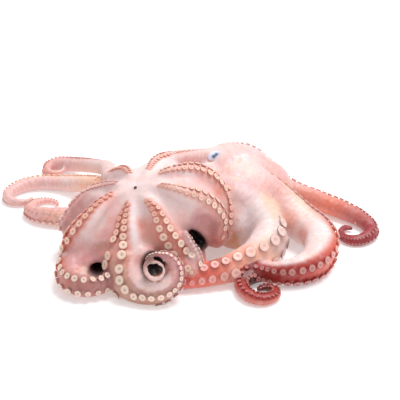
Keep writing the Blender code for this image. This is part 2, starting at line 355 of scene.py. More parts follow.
def eight_arms() -> list[ArmPlan]:
    """Give the plans of the eight arms, in their order round the mouth."""
    roll = roll_stations((-38, -138, 40), (0.0, 0.25, 0.968), [
        (160, 38.5, 21, 12.5, 58, 32), (185, 36.5, 24, 12.5, 56, 26), (210, 37.5, 23, 11.5, 54, 16),
        (240, 33, 20, 9.5, 50, 6), (272, 27.5, 17, 9, 42, 0), (305, 26, 14.5, 7.5, 34, 0),
        (335, 25, 12, 6, 26, 0), (365, 22.5, 9, 5, 18, 0), (400, 19.5, 7, 4.2, 12, 0),
        (440, 15.8, 4.8, 3.4, 6, 0), (480, 15.5, 4.2, 2.8, 0, -1), (520, 13.6, 3.6, 0, 0, -5),
        (560, 11.6, 3.2, 0, 0, -9), (600, 10.4, 2.9, 0, 0, -11), (650, 9.8, 2.7, 0, 0, -12),
        (700, 9.7, 2.6, 0, 0, -11), (750, 9.6, 2.5, 0, 0, -9), (810, 9.5, 2.4, 0, 0, -7),
        (850, 9.8, 2.3, 0, 0, -6)])
    return [
        ArmPlan(
            ArmName.LEFT_FRONT,
            [(-86, -61, 97), (-105, -72, 88), (-122, -84, 73), (-138, -90, 54), (-147, -88, 32), (-142, -88, 8)],
            [(-140, -112, 20, 14.5, -0.85, -0.5, 0.2, 8.5), (-134, -127, 17, 15, -0.5, -0.85, 0.25, 8),
             (-119, -134, 16, 15, 0, -0.95, 0.3, 8), (-103, -130, 15, 13.5, 0.1, -0.95, 0.3, 7.5),
             (-92, -114, 14, 12.5, 0.3, -0.9, 0.2, 7), (-85, -92, 13, 12, 0.5, 0, -0.5, 0),
             (-100, -50, 14, 12, 0.5, 0, -0.5, 0), (-124, 5, 14, 12, -0.4, -0.7, 0.0, 5),
             (-148, 30, 13, 12, -0.3, -0.9, 0.1, 6), (-167, 34, 12, 11.5, -0.1, -0.95, 0.1, 6),
             (-186, 40, 11, 10.5, -0.4, -0.9, 0.1, 5.5), (-200, 54, 8.5, 8.5, -0.95, -0.2, 0.1, 4.5),
             (-201, 73, 6, 6, -0.9, 0.4, 0.1, 3.5), (-193, 85, 5.5, 5.2, -0.4, 0.9, 0.1, 3),
             (-180, 89, 5, 4.5, 0.2, 0.95, 0.1, 2.5), (-170, 86, 4.5, 4, 0.9, 0.3, 0.1, 2),
             (-167, 78, 4, 3.5, 0.9, -0.3, 0.1, 0)],
            discs=(3.5, 6, 8, 9.5, 10, 9.5), stout=1.15, lean=0.3, row_shift=0.3, bed=Tone.SALMON,
            pale=(1.3, -0.4), stripes=0.16, tall=1.8, side=0.85,
            tones=((0.0, Tone.PETAL, Tone.SALMON), (0.1, Tone.PEARL, Tone.MAUVE), (0.3, Tone.PETAL, Tone.MAUVE),
                   (0.48, Tone.PETAL, Tone.SHRIMP), (0.6, Tone.BLUSH, Tone.PEACH),
                   (0.75, Tone.BLUSH, Tone.PETAL), (1.0, Tone.BLUSH, Tone.SHRIMP))),
        ArmPlan(
            ArmName.FRONT,
            [(-71, -74, 93), (-77, -88, 80), (-80, -102, 65), (-82, -112, 50), (-84, -119, 32), (-82, -124, 8)],
            roll, discs=(3.5, 6.3, 8.5, 11, 12, 12), kept=4, stout=1.35, lean=0.55, tip=10, bed=Tone.SALMON,
            spread=0.38, shift=0.1, tall=1.4,
            pitch=0.5, side=0.7,
            tones=((0.0, Tone.PEARL, Tone.SHRIMP), (0.15, Tone.PEARL, Tone.TAN), (0.35, Tone.PETAL, Tone.TAN),
                   (0.5, Tone.PETAL, Tone.MALLOW), (0.62, Tone.MALLOW, Tone.MALLOW), (0.7, Tone.MALLOW, Tone.TAUPE),
                   (0.8, Tone.PEARL, Tone.TAN), (1.0, Tone.PEARL, Tone.TAN))),
        ArmPlan(
            ArmName.FRONT_RIGHT,
            [(-51, -80, 99), (-38, -94, 89), (-29, -106, 73), (-19, -112, 57), (-7, -113, 38), (2, -106, 12)],
            [(0, -112, 26, 14, 0.6, -0.7, 0.4, 7.5), (0, -116, 16, 12, 0.5, -0.8, 0.2, 0),
             (-14, -118, 13, 9, 0.2, -0.9, 0.0, 0)],
            discs=(3.5, 6.5, 9, 10, 10, 8.5), stout=1.1, lean=0.3, bed=Tone.SALMON, pitch=0.53, side=0.7,
            frill=[(-5, -102, 66, 4, 0.75, -0.5, 0.4, 0), (-1, -106, 58, 5, 0.75, -0.5, 0.4, 3.6),
                   (6, -108, 46, 5.5, 0.8, -0.5, 0.3, 4), (9, -108, 35, 5.5, 0.8, -0.5, 0.3, 4),
                   (11, -107, 27, 5, 0.8, -0.5, 0.2, 3.6), (11, -106, 20, 4, 0.8, -0.5, 0, 0)],
            tones=((0.0, Tone.SHRIMP, Tone.SHRIMP), (1.0, Tone.MAUVE, Tone.TAN))),
        ArmPlan(
            ArmName.RIGHT,
            [(-38, -66, 110), (-12, -76, 109), (12, -76, 101), (30, -68, 85), (42, -62, 62), (42, -62, 36)],
            [(30, 10, 60, 20, 0.5, 0.3, -0.2, 0), (56, -6, 60, 24, 0.5, 0.3, -0.2, 0),
             (81, -19, 46, 26, 0.8, 0.1, 0.2, -6), (95, -38, 32, 24, 0.95, -0.1, 0.25, 13.5),
             (90, -62, 26, 23, 0.8, -0.55, 0.2, 15), (75, -82, 22, 20, 0.4, -0.82, 0.38, 14.5),
             (52, -97, 18, 17.5, 0.1, -0.8, 0.55, 12.5), (29, -108, 16, 15, 0, -0.8, 0.6, 11),
             (6, -116, 14, 12.5, -0.1, -0.8, 0.6, 8.5), (-12, -121, 12, 10, -0.1, -0.8, 0.6, 0)],
            discs=(3, 5, 7.5, 9, 8, 6), kept=6, folded=True, bed=Tone.SHRIMP, pale=(1.5, 0.2), tall=0.9,
            side=0.45,
            tones=((0.0, Tone.DUSK, Tone.DUSK), (0.18, Tone.DUSK, Tone.BLUSH), (0.26, Tone.MILK, Tone.PEACH),
                   (0.54, Tone.MILK, Tone.PEARL), (0.6, Tone.PEARL, Tone.PEACH), (0.67, Tone.PEACH, Tone.MELON),
                   (0.74, Tone.MELON, Tone.MELON),
                   (0.8, Tone.SHRIMP, Tone.SALMON), (0.86, Tone.SALMON, Tone.CORAL), (1.0, Tone.MALLOW, Tone.CORAL))),
        ArmPlan(
            ArmName.RIGHT_BACK,
            [(-38, -48, 115), (-12, -42, 119), (12, -32, 113), (33, -24, 94), (46, -28, 68), (48, -40, 34)],
            [(40, 34, 60, 20, 0.3, 0.6, -0.6, 0), (66, 28, 64, 24, 0.4, 0.7, -0.3, 0),
             (92, 21, 53, 25, 0.6, 0.7, 0.3, 6), (116, 9, 37, 24.5, 0.7, 0.6, 0.35, 7.5),
             (136, -7, 26, 24.5, 0.85, 0.35, 0.35, 8), (152, -28, 22.5, 23.5, 0.95, 0.05, 0.3, 8.5),
             (156, -58, 21, 22, 0.9, -0.45, -0.15, 9.5), (144, -88, 18, 19.5, 0.6, -0.8, -0.15, 9.5),
             (124, -103, 16, 16.5, 0.2, -0.97, -0.1, 8.8), (103, -105, 14, 14, 0, -0.95, 0.0, 7.6),
             (83, -100, 12, 12, -0.1, -0.8, 0.3, 6), (68, -107, 11, 11, 0.1, -0.4, 0.9, 5.2),
             (59, -124, 9.5, 9.2, 0.2, -0.1, 0.95, 4.4), (66, -144, 8.5, 8.4, 0.1, 0.1, 0.95, 4),
             (83, -152, 7.5, 7.8, 0, -0.1, 1, 3.8), (97, -141, 7, 7, 0, -0.3, 1, 3.4),
             (95, -127, 6, 6, 0.2, -0.2, 1, 3.2), (85, -122, 6, 5, 0, -0.4, 0.9, 2.8),
             (78, -127, 5, 4, -0.1, -0.2, 1, 2.4)],
            discs=(3, 5, 7.5, 8.5, 7, 6), kept=6, folded=True, bed=Tone.SHRIMP,
            pale=(1.05, -0.15), tall=1.5, stripes=0.04, side=0.72,
            tones=((0.0, Tone.DUSK, Tone.BLUSH), (0.06, Tone.MILK, Tone.PEARL), (0.16, Tone.PETAL, Tone.PETAL),
                   (0.24, Tone.FLESH, Tone.PEACH), (0.38, Tone.MILK, Tone.PETAL), (0.45, Tone.MILK, Tone.SALMON),
                   (0.52, Tone.PEARL, Tone.CORAL), (0.6, Tone.PEARL, Tone.BRICK), (0.66, Tone.BLUSH, Tone.BRICK),
                   (0.72, Tone.ROSE, Tone.BRICK), (0.8, Tone.ROSE, Tone.BRICK),
                   (1.0, Tone.SALMON, Tone.BRICK))),
        ArmPlan(
            ArmName.BACK,
            [(-50, -32, 110), (-42, -8, 112), (-30, 8, 111), (-14, 34, 80), (-8, 42, 48), (-6, 44, 8)],
            [(-16, 24, 99, 9, 0, 0.5, 0.85, 4.5), (-2, 38, 94, 9, 0, 0.5, 0.85, 4.5),
             (14, 52, 88, 10, 0.1, 0.6, 0.8, 3), (34, 66, 80, 14, 0.2, 0.6, 0.75, 0),
             (62, 79, 72, 16, 0.3, 0.5, 0.8, 6), (88, 84, 55, 15.5, 0.4, 0.6, 0.65, 7.5),
             (108, 90, 33, 14.5, 0.4, 0.7, 0.55, 8), (130, 88, 19, 13.8, 0.5, 0.7, 0.5, 7.5),
             (152, 77, 15, 13.2, 0.6, 0.65, 0.45, 7), (175, 61, 13.5, 12.8, 0.65, 0.6, 0.45, 6.5),
             (195, 46, 12, 12.2, 0.75, 0.5, 0.4, 5.5), (213, 27, 10, 10.6, 0.95, 0.15, 0.3, 4.8),
             (221, 6, 8.5, 9.5, 0.95, -0.2, 0.3, 4.4), (212, -11, 7.5, 8, 0.5, -0.8, 0.3, 3.8),
             (198, -17, 6.5, 7, -0.1, -0.9, 0.3, 3), (185, -9, 6, 6, -0.8, -0.5, 0.3, 2.6),
             (182, 7, 5, 5, -0.9, 0.3, 0.3, 2.2), (189, 20, 5, 4, 0, 0.9, 0.3, 2),
             (197, 16, 5, 3.4, 0.8, 0, 0.4, 0)],
            discs=(3, 4, 4.5, 4.5, 4.5, 4.5), kept=3, bed=Tone.SHRIMP,
            pale=(0.3, 0.05), tall=1.25, side=1.12,
            tones=((0.0, Tone.PEARL, Tone.SHRIMP), (0.06, Tone.PEARL, Tone.BLUSH), (0.12, Tone.PEARL, Tone.PEARL),
                   (0.33, Tone.PEARL, Tone.BLUSH), (0.42, Tone.PETAL, Tone.BLUSH), (0.5, Tone.SHRIMP, Tone.PETAL),
                   (0.6, Tone.SALMON, Tone.SHRIMP), (0.68, Tone.ROSE, Tone.ROSE), (0.78, Tone.CRIMSON, Tone.CRIMSON),
                   (1.0, Tone.CRIMSON, Tone.CRIMSON))),
        ArmPlan(
            ArmName.BACK_LEFT,
            [(-70, -34, 107), (-78, -12, 104), (-90, 6, 93), (-98, 20, 72), (-102, 27, 44), (-100, 30, 8)],
            [(-94, 30, 70, 11, -0.2, 1, 0.2, 0), (-98, 62, 56, 12, 0, 1, 0.0, 0),
             (-104, 100, 46, 11, 0, 1, 0.1, 0), (-120, 134, 31, 10, 0, 0.95, 0.3, 4),
             (-140, 160, 20.5, 10, 0, 0.9, 0.5, 4.5), (-158, 177, 13, 10, -0.2, 0.85, 0.5, 4.5),
             (-175, 184, 10, 9, -0.4, 0.8, 0.4, 4), (-188, 178, 8, 8, -0.9, 0.2, 0.3, 3),
             (-188, 164, 7, 6, -0.8, -0.5, 0.2, 2.5), (-175, 160, 7, 5, 0.2, -0.9, 0.2, 2),
             (-165, 168, 8, 4, 0.8, -0.3, 0.2, 0)],
            discs=(3, 4, 4.5, 4.5, 4.5, 4.5), kept=3, bed=Tone.SHRIMP, pale=(0.5, 0.3), tall=1.5, side=0.9,
            tones=((0.0, Tone.BLUSH, Tone.BLUSH), (0.4, Tone.PEARL, Tone.BLUSH), (0.7, Tone.BLUSH, Tone.PETAL),
                   (0.85, Tone.PETAL, Tone.SHRIMP), (1.0, Tone.PEARL, Tone.BLUSH))),
        ArmPlan(
            ArmName.LEFT,
            [(-84, -46, 102), (-104, -25, 88), (-122, -19, 77), (-140, -26, 62), (-154, -40, 41), (-153, -48, 8)],
            [(-132, -4, 32, 13, -0.3, 0.7, 0.7, 0), (-114, 38, 38, 13.5, -0.2, 0.9, 0.4, 0),
             (-110, 70, 35, 12.5, 0, 0.95, 0.3, 5), (-126, 95, 25, 12, 0, 0.95, 0.3, 6),
             (-146, 115, 15.5, 11, 0.1, 0.95, 0.3, 6), (-170, 127, 10.5, 10, 0, 0.95, 0.3, 5.5),
             (-196, 130, 9.5, 9.5, -0.3, 0.9, 0.3, 5), (-215, 124, 8.5, 9, -0.6, 0.75, 0.3, 4.5),
             (-228, 111, 8, 8.5, -0.95, 0.2, 0.2, 4), (-233, 98, 7, 7.5, -0.95, -0.2, 0.1, 3.5),
             (-228, 86, 6, 6.5, -0.7, -0.7, 0.1, 3), (-215, 81, 6, 5.5, 0.1, -0.95, 0.1, 2.5),
             (-204, 88, 5, 4.2, 0.8, -0.5, 0.1, 2), (-201, 99, 4, 3.4, 0.9, 0.2, 0.1, 0)],
            discs=(3, 4.5, 6, 6.5, 6.5, 5.5), bed=Tone.PETAL, pale=(0.5, 0.3), tall=1.6, stripes=0.07, side=0.9,
            tones=((0.0, Tone.APRICOT, Tone.APRICOT), (0.25, Tone.APRICOT, Tone.APRICOT),
                   (0.35, Tone.PEACH, Tone.PEACH), (0.5, Tone.PEARL, Tone.PEACH), (0.7, Tone.BLUSH, Tone.PEACH),
                   (0.85, Tone.BLUSH, Tone.BLUSH), (1.0, Tone.PEARL, Tone.PETAL))),
    ]


@dataclass
class LimbForm:
    """Sweeps an arm by extruding a ring of points along its stations."""

    layout: Layout
    ring: int = 20
    step: float = 5.0
    flat: float = 0.78                   # depth of the sucker side over its width

    def frames(self, run: Run) -> list[Matrix]:
        """Give the place, turn and size of every ring, with rounded ends.

        Args:
            run: stations of x, y, z, half width and sucker direction.

        Returns:
            One matrix for each ring.
        """
        path = curve_through(run, self.step)
        found = []
        for i, here in enumerate(path):
            ahead, behind = path[min(i + 1, len(path) - 1)], path[max(i - 1, 0)]
            along = (Vector(ahead[:3]) - Vector(behind[:3])).normalized()
            out = Vector(here[4:7])
            out = (out - along * out.dot(along)).normalized()
            side = along.cross(out)
            width = max(here[3], 2.0)
            for reach, share in self.rounding(i, len(path)):
                spot = self.layout.metres(Vector(here[:3]) + along * reach * width)
                size = width * share * MM
                found.append(Matrix.Translation(spot) @ Matrix((side * size, out * size, along * size))
                             .transposed().to_4x4())
        return found

    def rounding(self, index: int, count: int) -> list[tuple[float, float]]:
        """Give reach along and share of the width for the rings at one station."""
        if index == 0:
            return [(-0.85, 0.35), (-0.55, 0.8), (0.0, 1.0)]
        if index == count - 1:
            return [(0.0, 1.0), (0.55, 0.8), (0.85, 0.35)]
        return [(0.0, 1.0)]

    def sweep(self, name: str, run: Run) -> bpy.types.Object:
        """Model one limb.

        Args:
            name: the object's name.
            run: stations of x, y, z, half width and sucker direction.

        Returns:
            The closed tube.
        """
        frames = self.frames(run)
        deselect()
        bpy.ops.mesh.primitive_circle_add(vertices=self.ring, radius=1.0, location=(0, 0, 0))
        limb = bpy.context.object
        limb.name = name
        bpy.ops.object.mode_set(mode="EDIT")
        bpy.ops.mesh.select_all(action="SELECT")
        mesh = bmesh.from_edit_mesh(limb.data)
        for vert in mesh.verts:
            vert.co.y *= self.flat if vert.co.y > 0 else 1.0
        bmesh.ops.transform(mesh, matrix=frames[0], verts=mesh.verts)
        bpy.ops.mesh.edge_face_add()
        bpy.ops.mesh.select_mode(type="EDGE")
        for before, after in zip(frames, frames[1:]):
            bpy.ops.mesh.extrude_edges_move()
            mesh = bmesh.from_edit_mesh(limb.data)
            ring = [vert for vert in mesh.verts if vert.select]
            bmesh.ops.transform(mesh, matrix=after @ before.inverted(), verts=ring)
        bpy.ops.mesh.edge_face_add()
        bpy.ops.mesh.select_all(action="SELECT")
        bpy.ops.mesh.normals_make_consistent(inside=False)
        bpy.ops.object.mode_set(mode="OBJECT")
        return limb


@dataclass
class WebForm:
    """The domed web, a sphere drawn out over the eight ribs."""

    layout: Layout
    arms: list[ArmPlan]
    between: int = 10                    # columns from one rib to the next
    rows: int = 26
    sink: float = 6.0
    sag: float = 6.0
    floor: Triple = (-55.0, -38.0, 4.0)
    flares: tuple[float, ...] = (22.0, 0, 0, 0, 0, 0, 0, 0)   # how far the hem stands out after each rib

    def column(self, rib: int, share: float) -> list[Vector]:
        """Give one column of web points from the mouth to the hem.

        Args:
            rib: number of the rib before the column.
            share: how far it lies towards the next rib.

        Returns:
            The points, in layout millimetres.
        """
        count = len(self.arms)
        rows = [[MOUTH] + [Vector(p) for p in self.arms[(rib + k) % count].rib] for k in (-1, 0, 1, 2)]
        t = share
        line = [0.5 * (2 * b + (c - a) * t + (2 * a - 5 * b + 4 * c - d) * t * t
                       + (3 * b - a - 3 * c + d) * t ** 3) for a, b, c, d in zip(*rows)]
        fine = curve_through([tuple(p) for p in line], 4.0)
        sag = self.sag * math.sin(math.pi * t) ** 2
        found = []
        for k in range(1, self.rows + 1):
            where = k / self.rows * (len(fine) - 1)
            i = min(int(where), len(fine) - 2)
            spot = Vector(fine[i]).lerp(Vector(fine[i + 1]), where - i)
            inward = (WEB_CORE - spot).normalized()
            depth = self.sink * min(1.0, 0.3 + k / 12) + sag * min(1.0, k / 16)
            depth -= self.flares[rib] * math.sin(math.pi * t) ** 2 * max(0.0, (k - 12) / 14)
            found.append(spot + inward * depth)
        return found

    def build(self) -> bpy.types.Object:
        """Model the closed web.

        Returns:
            The web object.
        """
        total = len(self.arms) * self.between
        columns = [self.column(c // self.between, (c % self.between) / self.between) for c in range(total)]
        deselect()
        bpy.ops.mesh.primitive_uv_sphere_add(segments=total, ring_count=self.rows + 1, radius=1.0, location=(0, 0, 0))
        web = bpy.context.object
        web.name = "web"
        for vert in web.data.vertices:
            row = round(math.acos(max(-1.0, min(1.0, vert.co.z))) / math.pi * (self.rows + 1))
            turn = round(math.atan2(vert.co.y, vert.co.x) / (2 * math.pi) * total) % total
            if row == 0:
                place = MOUTH - Vector((0, 0, 4.0))
            elif row == self.rows + 1:
                place = Vector(self.floor)
            else:
                place = columns[turn][row - 1]
            vert.co = self.layout.metres(place)
        return web


@dataclass
class TrunkForm:
    """Head, mantle and the fullness inside the arm ring, as stretched balls."""

    layout: Layout
    balls: tuple[tuple[Triple, Triple, float], ...] = (
        ((54, 64, 42), (56, 46, 53), -18),
        ((84, 62, 34), (44, 38, 42), -30),
        ((20, 44, 44), (44, 34, 38), 10),
        ((0, 102, 27), (76, 44, 29), 12),
        ((-50, -34, 46), (82, 70, 50), 0),
        ((54, -14, 34), (34, 34, 36), 0),
        ((4, -92, 28), (14, 18, 20), 0),
        ((-116, -104, 20), (26, 18, 18), 0),
        ((-50, -114, 28), (28, 14, 26), 0),
        ((72, 18, 48), (40, 36, 34), 0),
        ((66, -6, 42), (32, 26, 34), 0),
        ((98, 6, 36), (28, 22, 26), 0),
    )
    # centre, radii, direction of the second radius, roll about it and strength of the painted shade round the rim
    pockets: tuple[tuple[Triple, Triple, Triple, float, float], ...] = (
        ((-106, -112, 25), (8.6, 36, 7), (0.1, 1.0, -0.1), 0, 0.8),
        ((14, -98, 48), (6.8, 36, 19), (-0.35, 0.93, -0.1), -40, 0.55),
        ((-41.5, -146, 42), (14.5, 36, 14.5), (0.0, 1.0, -0.2), 0, 0.0),
    )

    def ball(self, centre: Triple, radii: Triple, turn: Matrix) -> bpy.types.Object:
        """Add one stretched ball.

        Args:
            centre: its middle in layout millimetres.
            radii: its three radii in millimetres.
            turn: its rotation.

        Returns:
            The ball, settled in its place.
        """
        deselect()
        bpy.ops.mesh.primitive_ico_sphere_add(subdivisions=4, radius=1.0, location=(0, 0, 0))
        made = bpy.context.object
        size = Matrix.Diagonal((*(Vector(radii) * MM), 1.0))
        made.matrix_world = Matrix.Translation(self.layout.metres(centre)) @ turn @ size
        settle(made)
        return made

    def build(self) -> list[bpy.types.Object]:
        """Model the balls of the trunk."""
        return [self.ball(centre, radii, Matrix.Rotation(math.radians(turn), 4, "Z"))
                for centre, radii, turn in self.balls]

    def hollows(self) -> bpy.types.Object:
        """Model the solid that is taken out between the curls.

        Returns:
            The joined cutter.
        """
        made = []
        for centre, radii, inward, roll, rim in self.pockets:
            forward = Vector(inward).normalized()
            side = forward.cross(Vector((0, 0, 1))).normalized()
            turn = Matrix((side, forward, side.cross(forward))).transposed().to_4x4()
            made.append(self.ball(centre, radii, turn @ Matrix.Rotation(math.radians(roll), 4, "Y")))
        return join(made, "hollows")


@dataclass
class SuckerSeat:
    """Where one sucker sits: place, axis, direction along the arm, radius in metres and its tones."""

    place: Vector
    axis: Vector
    along: Vector
    radius: float
    bed: np.ndarray
    rim: np.ndarray
    dimple_shade: float                        # how much painted shade lies in the middle
    tall: float                          # how far it stands out
    arm: int
    free: float                          # 0 on the rib, 1 on the free run


@dataclass(frozen=True)
class Dab:
    """A patch of colour on the trunk or the web: a tone of the skin, painted light or painted shade."""

    spot: Triple
    tone: Tone
    weight: float = 1.0


@dataclass
class SkinPiece:
    """The one skin of the animal: arms, web and trunk melted together and coloured."""

    layout: Layout
    arms: list[ArmPlan]
    voxel: float = 2.2
    passes: int = 6
    soft_spots: tuple[tuple[Triple, float], ...] = (
        ((-64, -60, 103), 44.0), ((-131, -115, 41), 32.0), ((-57, -125, 62), 26.0), ((-92, 22, 85), 34.0))
    # patches of colour on trunk and web. Most are the skin's own tones. The milk ones on the ridge between the front
    # arms and on the web before the right arm are painted light. The mauve ones down the left side and the darker
    # ones in the valleys beside the front arms and round the pockets are painted shade.
    dabs: tuple[Dab, ...] = (
        Dab((-65, -45, 103), Tone.PEARL, 1.2), Dab((-62, -56, 104), Tone.MILK), Dab((-62, -70, 98), Tone.PEARL), Dab((-65, -94, 77), Tone.MILK, 2.0), Dab((-63, -105, 68), Tone.MILK, 2.0), Dab((-62, -112, 62), Tone.PEARL),
        Dab((-58, -130, 50), Tone.BLUSH), Dab((-48, -95, 71), Tone.SHRIMP), Dab((-46, -103, 61), Tone.SHRIMP), Dab((-40, -118, 50), Tone.ROSE),
        Dab((-113, -95, 68), Tone.PEARL, 1.4), Dab((-106, -84, 76), Tone.PEARL), Dab((-97, -94, 58), Tone.MALLOW),
        Dab((-92, -86, 72), Tone.PETAL), Dab((-99, -104, 48), Tone.TAUPE), Dab((-125, -104, 44), Tone.PETAL),
        Dab((-92, -74, 86), Tone.BLUSH), Dab((-135, -41, 64), Tone.MAUVE), Dab((-143, -52, 52), Tone.MAUVE),
        Dab((-120, -45, 84), Tone.MAUVE), Dab((-148, -60, 30), Tone.MAUVE), Dab((-100, -48, 96), Tone.BLUSH),
        Dab((-81, -43, 102), Tone.PEARL), Dab((-11, -87, 84), Tone.BLUSH), Dab((-20, -96, 70), Tone.PETAL),
        Dab((-34, -73, 102), Tone.PEARL), Dab((17, -41, 101), Tone.PETAL), Dab((1, -82, 96), Tone.MILK, 2.0), Dab((-14, -82, 92), Tone.PEARL), Dab((12, -70, 96), Tone.BLUSH),
        Dab((-104, -60, 94), Tone.BLUSH), Dab((0, -22, 110), Tone.PEARL, 1.4), Dab((-10, -55, 112), Tone.BLUSH),
        Dab((17, -77, 84), Tone.BLUSH), Dab((32, -73, 59), Tone.MAUVE), Dab((37, -70, 43), Tone.ROSE),
        Dab((17, -76, 73), Tone.MALLOW, 1.2), Dab((-12, -38, 119), Tone.MILK, 1.5), Dab((37, -34, 84), Tone.SHRIMP), Dab((20, -50, 96), Tone.BLUSH),
        Dab((-36, -14, 113), Tone.MILK), Dab((-17, -20, 110), Tone.PEARL), Dab((0, -10, 100), Tone.BLUSH),
        Dab((-119, -124, 29), Tone.MALLOW), Dab((-121, -107, 39), Tone.MALLOW, 1.2), Dab((-106, -33, 84), Tone.PEARL),
        Dab((-45, -152, 27), Tone.PEARL, 1.6), Dab((54, 46, 91), Tone.BLUSH, 1.5), Dab((60, 66, 94), Tone.BLUSH), Dab((-104, -112, 40), Tone.MALLOW), Dab((-58, -135, 30), Tone.BLUSH),
        Dab((-100, -110, 26), Tone.ROSE), Dab((30, 48, 90), Tone.BLUSH), Dab((50, 51, 92), Tone.BLUSH),
        Dab((54, 34, 83), Tone.PEACH, 0.6), Dab((42, 23, 75), Tone.BLUSH), Dab((65, 16, 79), Tone.LILAC),
        Dab((50, 24, 80), Tone.PEACH, 0.6), Dab((72, 30, 82), Tone.BLUSH), Dab((80, 8, 78), Tone.PETAL),
        Dab((60, 4, 78), Tone.LILAC), Dab((90, 45, 77), Tone.PETAL), Dab((98, 23, 75), Tone.SHRIMP),
        Dab((72, 54, 91), Tone.BLUSH), Dab((59, -23, 72), Tone.PEARL), Dab((53, -33, 64), Tone.LILAC),
        Dab((76, -26, 67), Tone.PEARL), Dab((70, -12, 76), Tone.PEARL), Dab((64, -40, 54), Tone.BLUSH), Dab((47, -47, 45), Tone.BLUSH), Dab((59, -47, 27), Tone.HONEY),
        Dab((0, 102, 56), Tone.PEARL), Dab((0, 140, 30), Tone.BLUSH), Dab((-60, 100, 30), Tone.PEARL),
        Dab((60, 120, 30), Tone.BLUSH), Dab((-50, 20, 70), Tone.PETAL), Dab((110, 60, 50), Tone.PETAL),
        Dab((-50, 60, 40), Tone.PETAL), Dab((-125, 0, 50), Tone.ROSE), Dab((-60, -60, 5), Tone.ROSE),
    )
    # place, tone, reach and strength of each patch laid over arms and trunk alike: stains of the skin, painted shade
    # (the deep ones inside the curled tip of the right-back arm, the rose one beside the roll's hole) and painted
    # light (the milk one in the groove at the right arm's root)
    stains_with_painted_light_and_shade: tuple[tuple[Triple, Tone, float, float], ...] = (
        ((69, -112, 2), Tone.DEEP, 25.0, 0.8), ((86, -131, 3), Tone.DEEP, 15.0, 0.75),
        ((70, -41, 55), Tone.MILK, 20.0, 0.7), ((85, -1, 74), Tone.PETAL, 22.0, 0.5),
        ((126, -97, 34), Tone.MILK, 13.0, 0.6), ((110, -101, 30), Tone.MILK, 9.0, 0.5),
        ((37, 24, 86), Tone.APRICOT, 9.0, 0.4), ((47, 14, 84), Tone.APRICOT, 9.0, 0.45),
        ((60, 38, 88), Tone.APRICOT, 8.0, 0.45), ((74, 30, 86), Tone.APRICOT, 8.0, 0.35),
        ((54, 0, 79), Tone.PEACH, 11.0, 0.5), ((46, -16, 76), Tone.PEACH, 8.0, 0.5),
        ((133, -44, 27), Tone.SALMON, 19.0, 0.55), ((119, -20, 38), Tone.MELON, 16.0, 0.4),
        ((-57, -129, 44), Tone.ROSE, 10.0, 0.4), ((72, -108, 27), Tone.LILAC, 9.0, 0.5),
        ((20, -106, 9), Tone.DUSK, 12.0, 0.5))
    piece: bpy.types.Object = None

    def shape(self) -> None:
        """Model the arms, the web and the trunk and melt them into one surface."""
        limb = LimbForm(self.layout)
        trunk = TrunkForm(self.layout)
        parts = [WebForm(self.layout, self.arms).build()]
        for arm in self.arms:
            for number, run in enumerate(arm.tubes()):
                parts.append(limb.sweep(f"arm_{arm.name.value}_{number}", run))
        parts += trunk.build()
        skin = join(parts, "octopus_skin")
        self.melt(skin)
        self.relax(skin, self.passes)
        hollows = trunk.hollows()
        sink = skin.modifiers.new("pockets", "BOOLEAN")
        sink.operation = "DIFFERENCE"
        sink.solver = "EXACT"
        sink.object = hollows
        fix(skin, sink)
        bpy.data.objects.remove(hollows, do_unlink=True)
        tips = [limb.sweep(f"tip_{arm.name.value}", arm.rolled_tip()) for arm in self.arms if arm.tip]
        skin = join([skin] + tips, "octopus_skin")
        self.melt(skin)
        self.relax(skin, 2)
        self.soften(skin)
        self.flatten_underside(skin)
        self.piece = skin

    def melt(self, skin: bpy.types.Object) -> None:
        """Melt crossing shells into one surface.

        Args:
            skin: the shells.
        """
        melt = skin.modifiers.new("melt", "REMESH")
        melt.mode = "VOXEL"
        melt.voxel_size = self.voxel * MM
        melt.use_smooth_shade = True
        fix(skin, melt)

    def soften(self, skin: bpy.types.Object) -> None:
        """Smooth the skin where arms fade into the web, as round the mouth.

        Args:
            skin: the surface.
        """
        group = skin.vertex_groups.new(name="soft")
        places = [(self.layout.metres(spot), reach) for spot, reach in self.soft_spots]
        for vert in skin.data.vertices:
            weight = max(2.0 - 2.0 * (vert.co - middle).length / MM / reach for middle, reach in places)
            if weight > 0.0:
                group.add([vert.index], min(1.0, weight), "REPLACE")
        soften = skin.modifiers.new("soften", "SMOOTH")
        soften.iterations = 26
        soften.factor = 0.6
        soften.vertex_group = group.name
        fix(skin, soften)
        skin.vertex_groups.remove(skin.vertex_groups["soft"])

    def relax(self, skin: bpy.types.Object, passes: int) -> None:
        """Smooth the surface a little.

        Args:
            skin: the surface.
            passes: how many times.
        """
        ease_out = skin.modifiers.new("relax", "SMOOTH")
        ease_out.iterations = passes
        ease_out.factor = 0.5
        fix(skin, ease_out)

    def flatten_underside(self, skin: bpy.types.Object) -> None:
        """Cut the skin flat where it lies on the table.

        Args:
            skin: the surface.
        """
        pick(skin)
        bpy.ops.object.mode_set(mode="EDIT")
        bpy.ops.mesh.select_all(action="SELECT")
        bpy.ops.mesh.bisect(plane_co=(0, 0, 0), plane_no=(0, 0, 1), clear_inner=True, use_fill=True)
        bpy.ops.object.mode_set(mode="OBJECT")

    def places(self) -> np.ndarray:
        """Give the skin's vertex positions in metres."""
        count = len(self.piece.data.vertices)
        found = np.empty(count * 3)
        self.piece.data.vertices.foreach_get("co", found)
        return found.reshape(-1, 3)

    def normals(self) -> np.ndarray:
        """Give the skin's vertex normals."""
        count = len(self.piece.data.vertices)
        found = np.empty(count * 3)
        self.piece.data.vertices.foreach_get("normal", found)
        return found.reshape(-1, 3)

    def move(self, places: np.ndarray) -> None:
        """Store new vertex positions.

        Args:
            places: the positions in metres.
        """
        self.piece.data.vertices.foreach_set("co", places.ravel())
        self.piece.data.update()

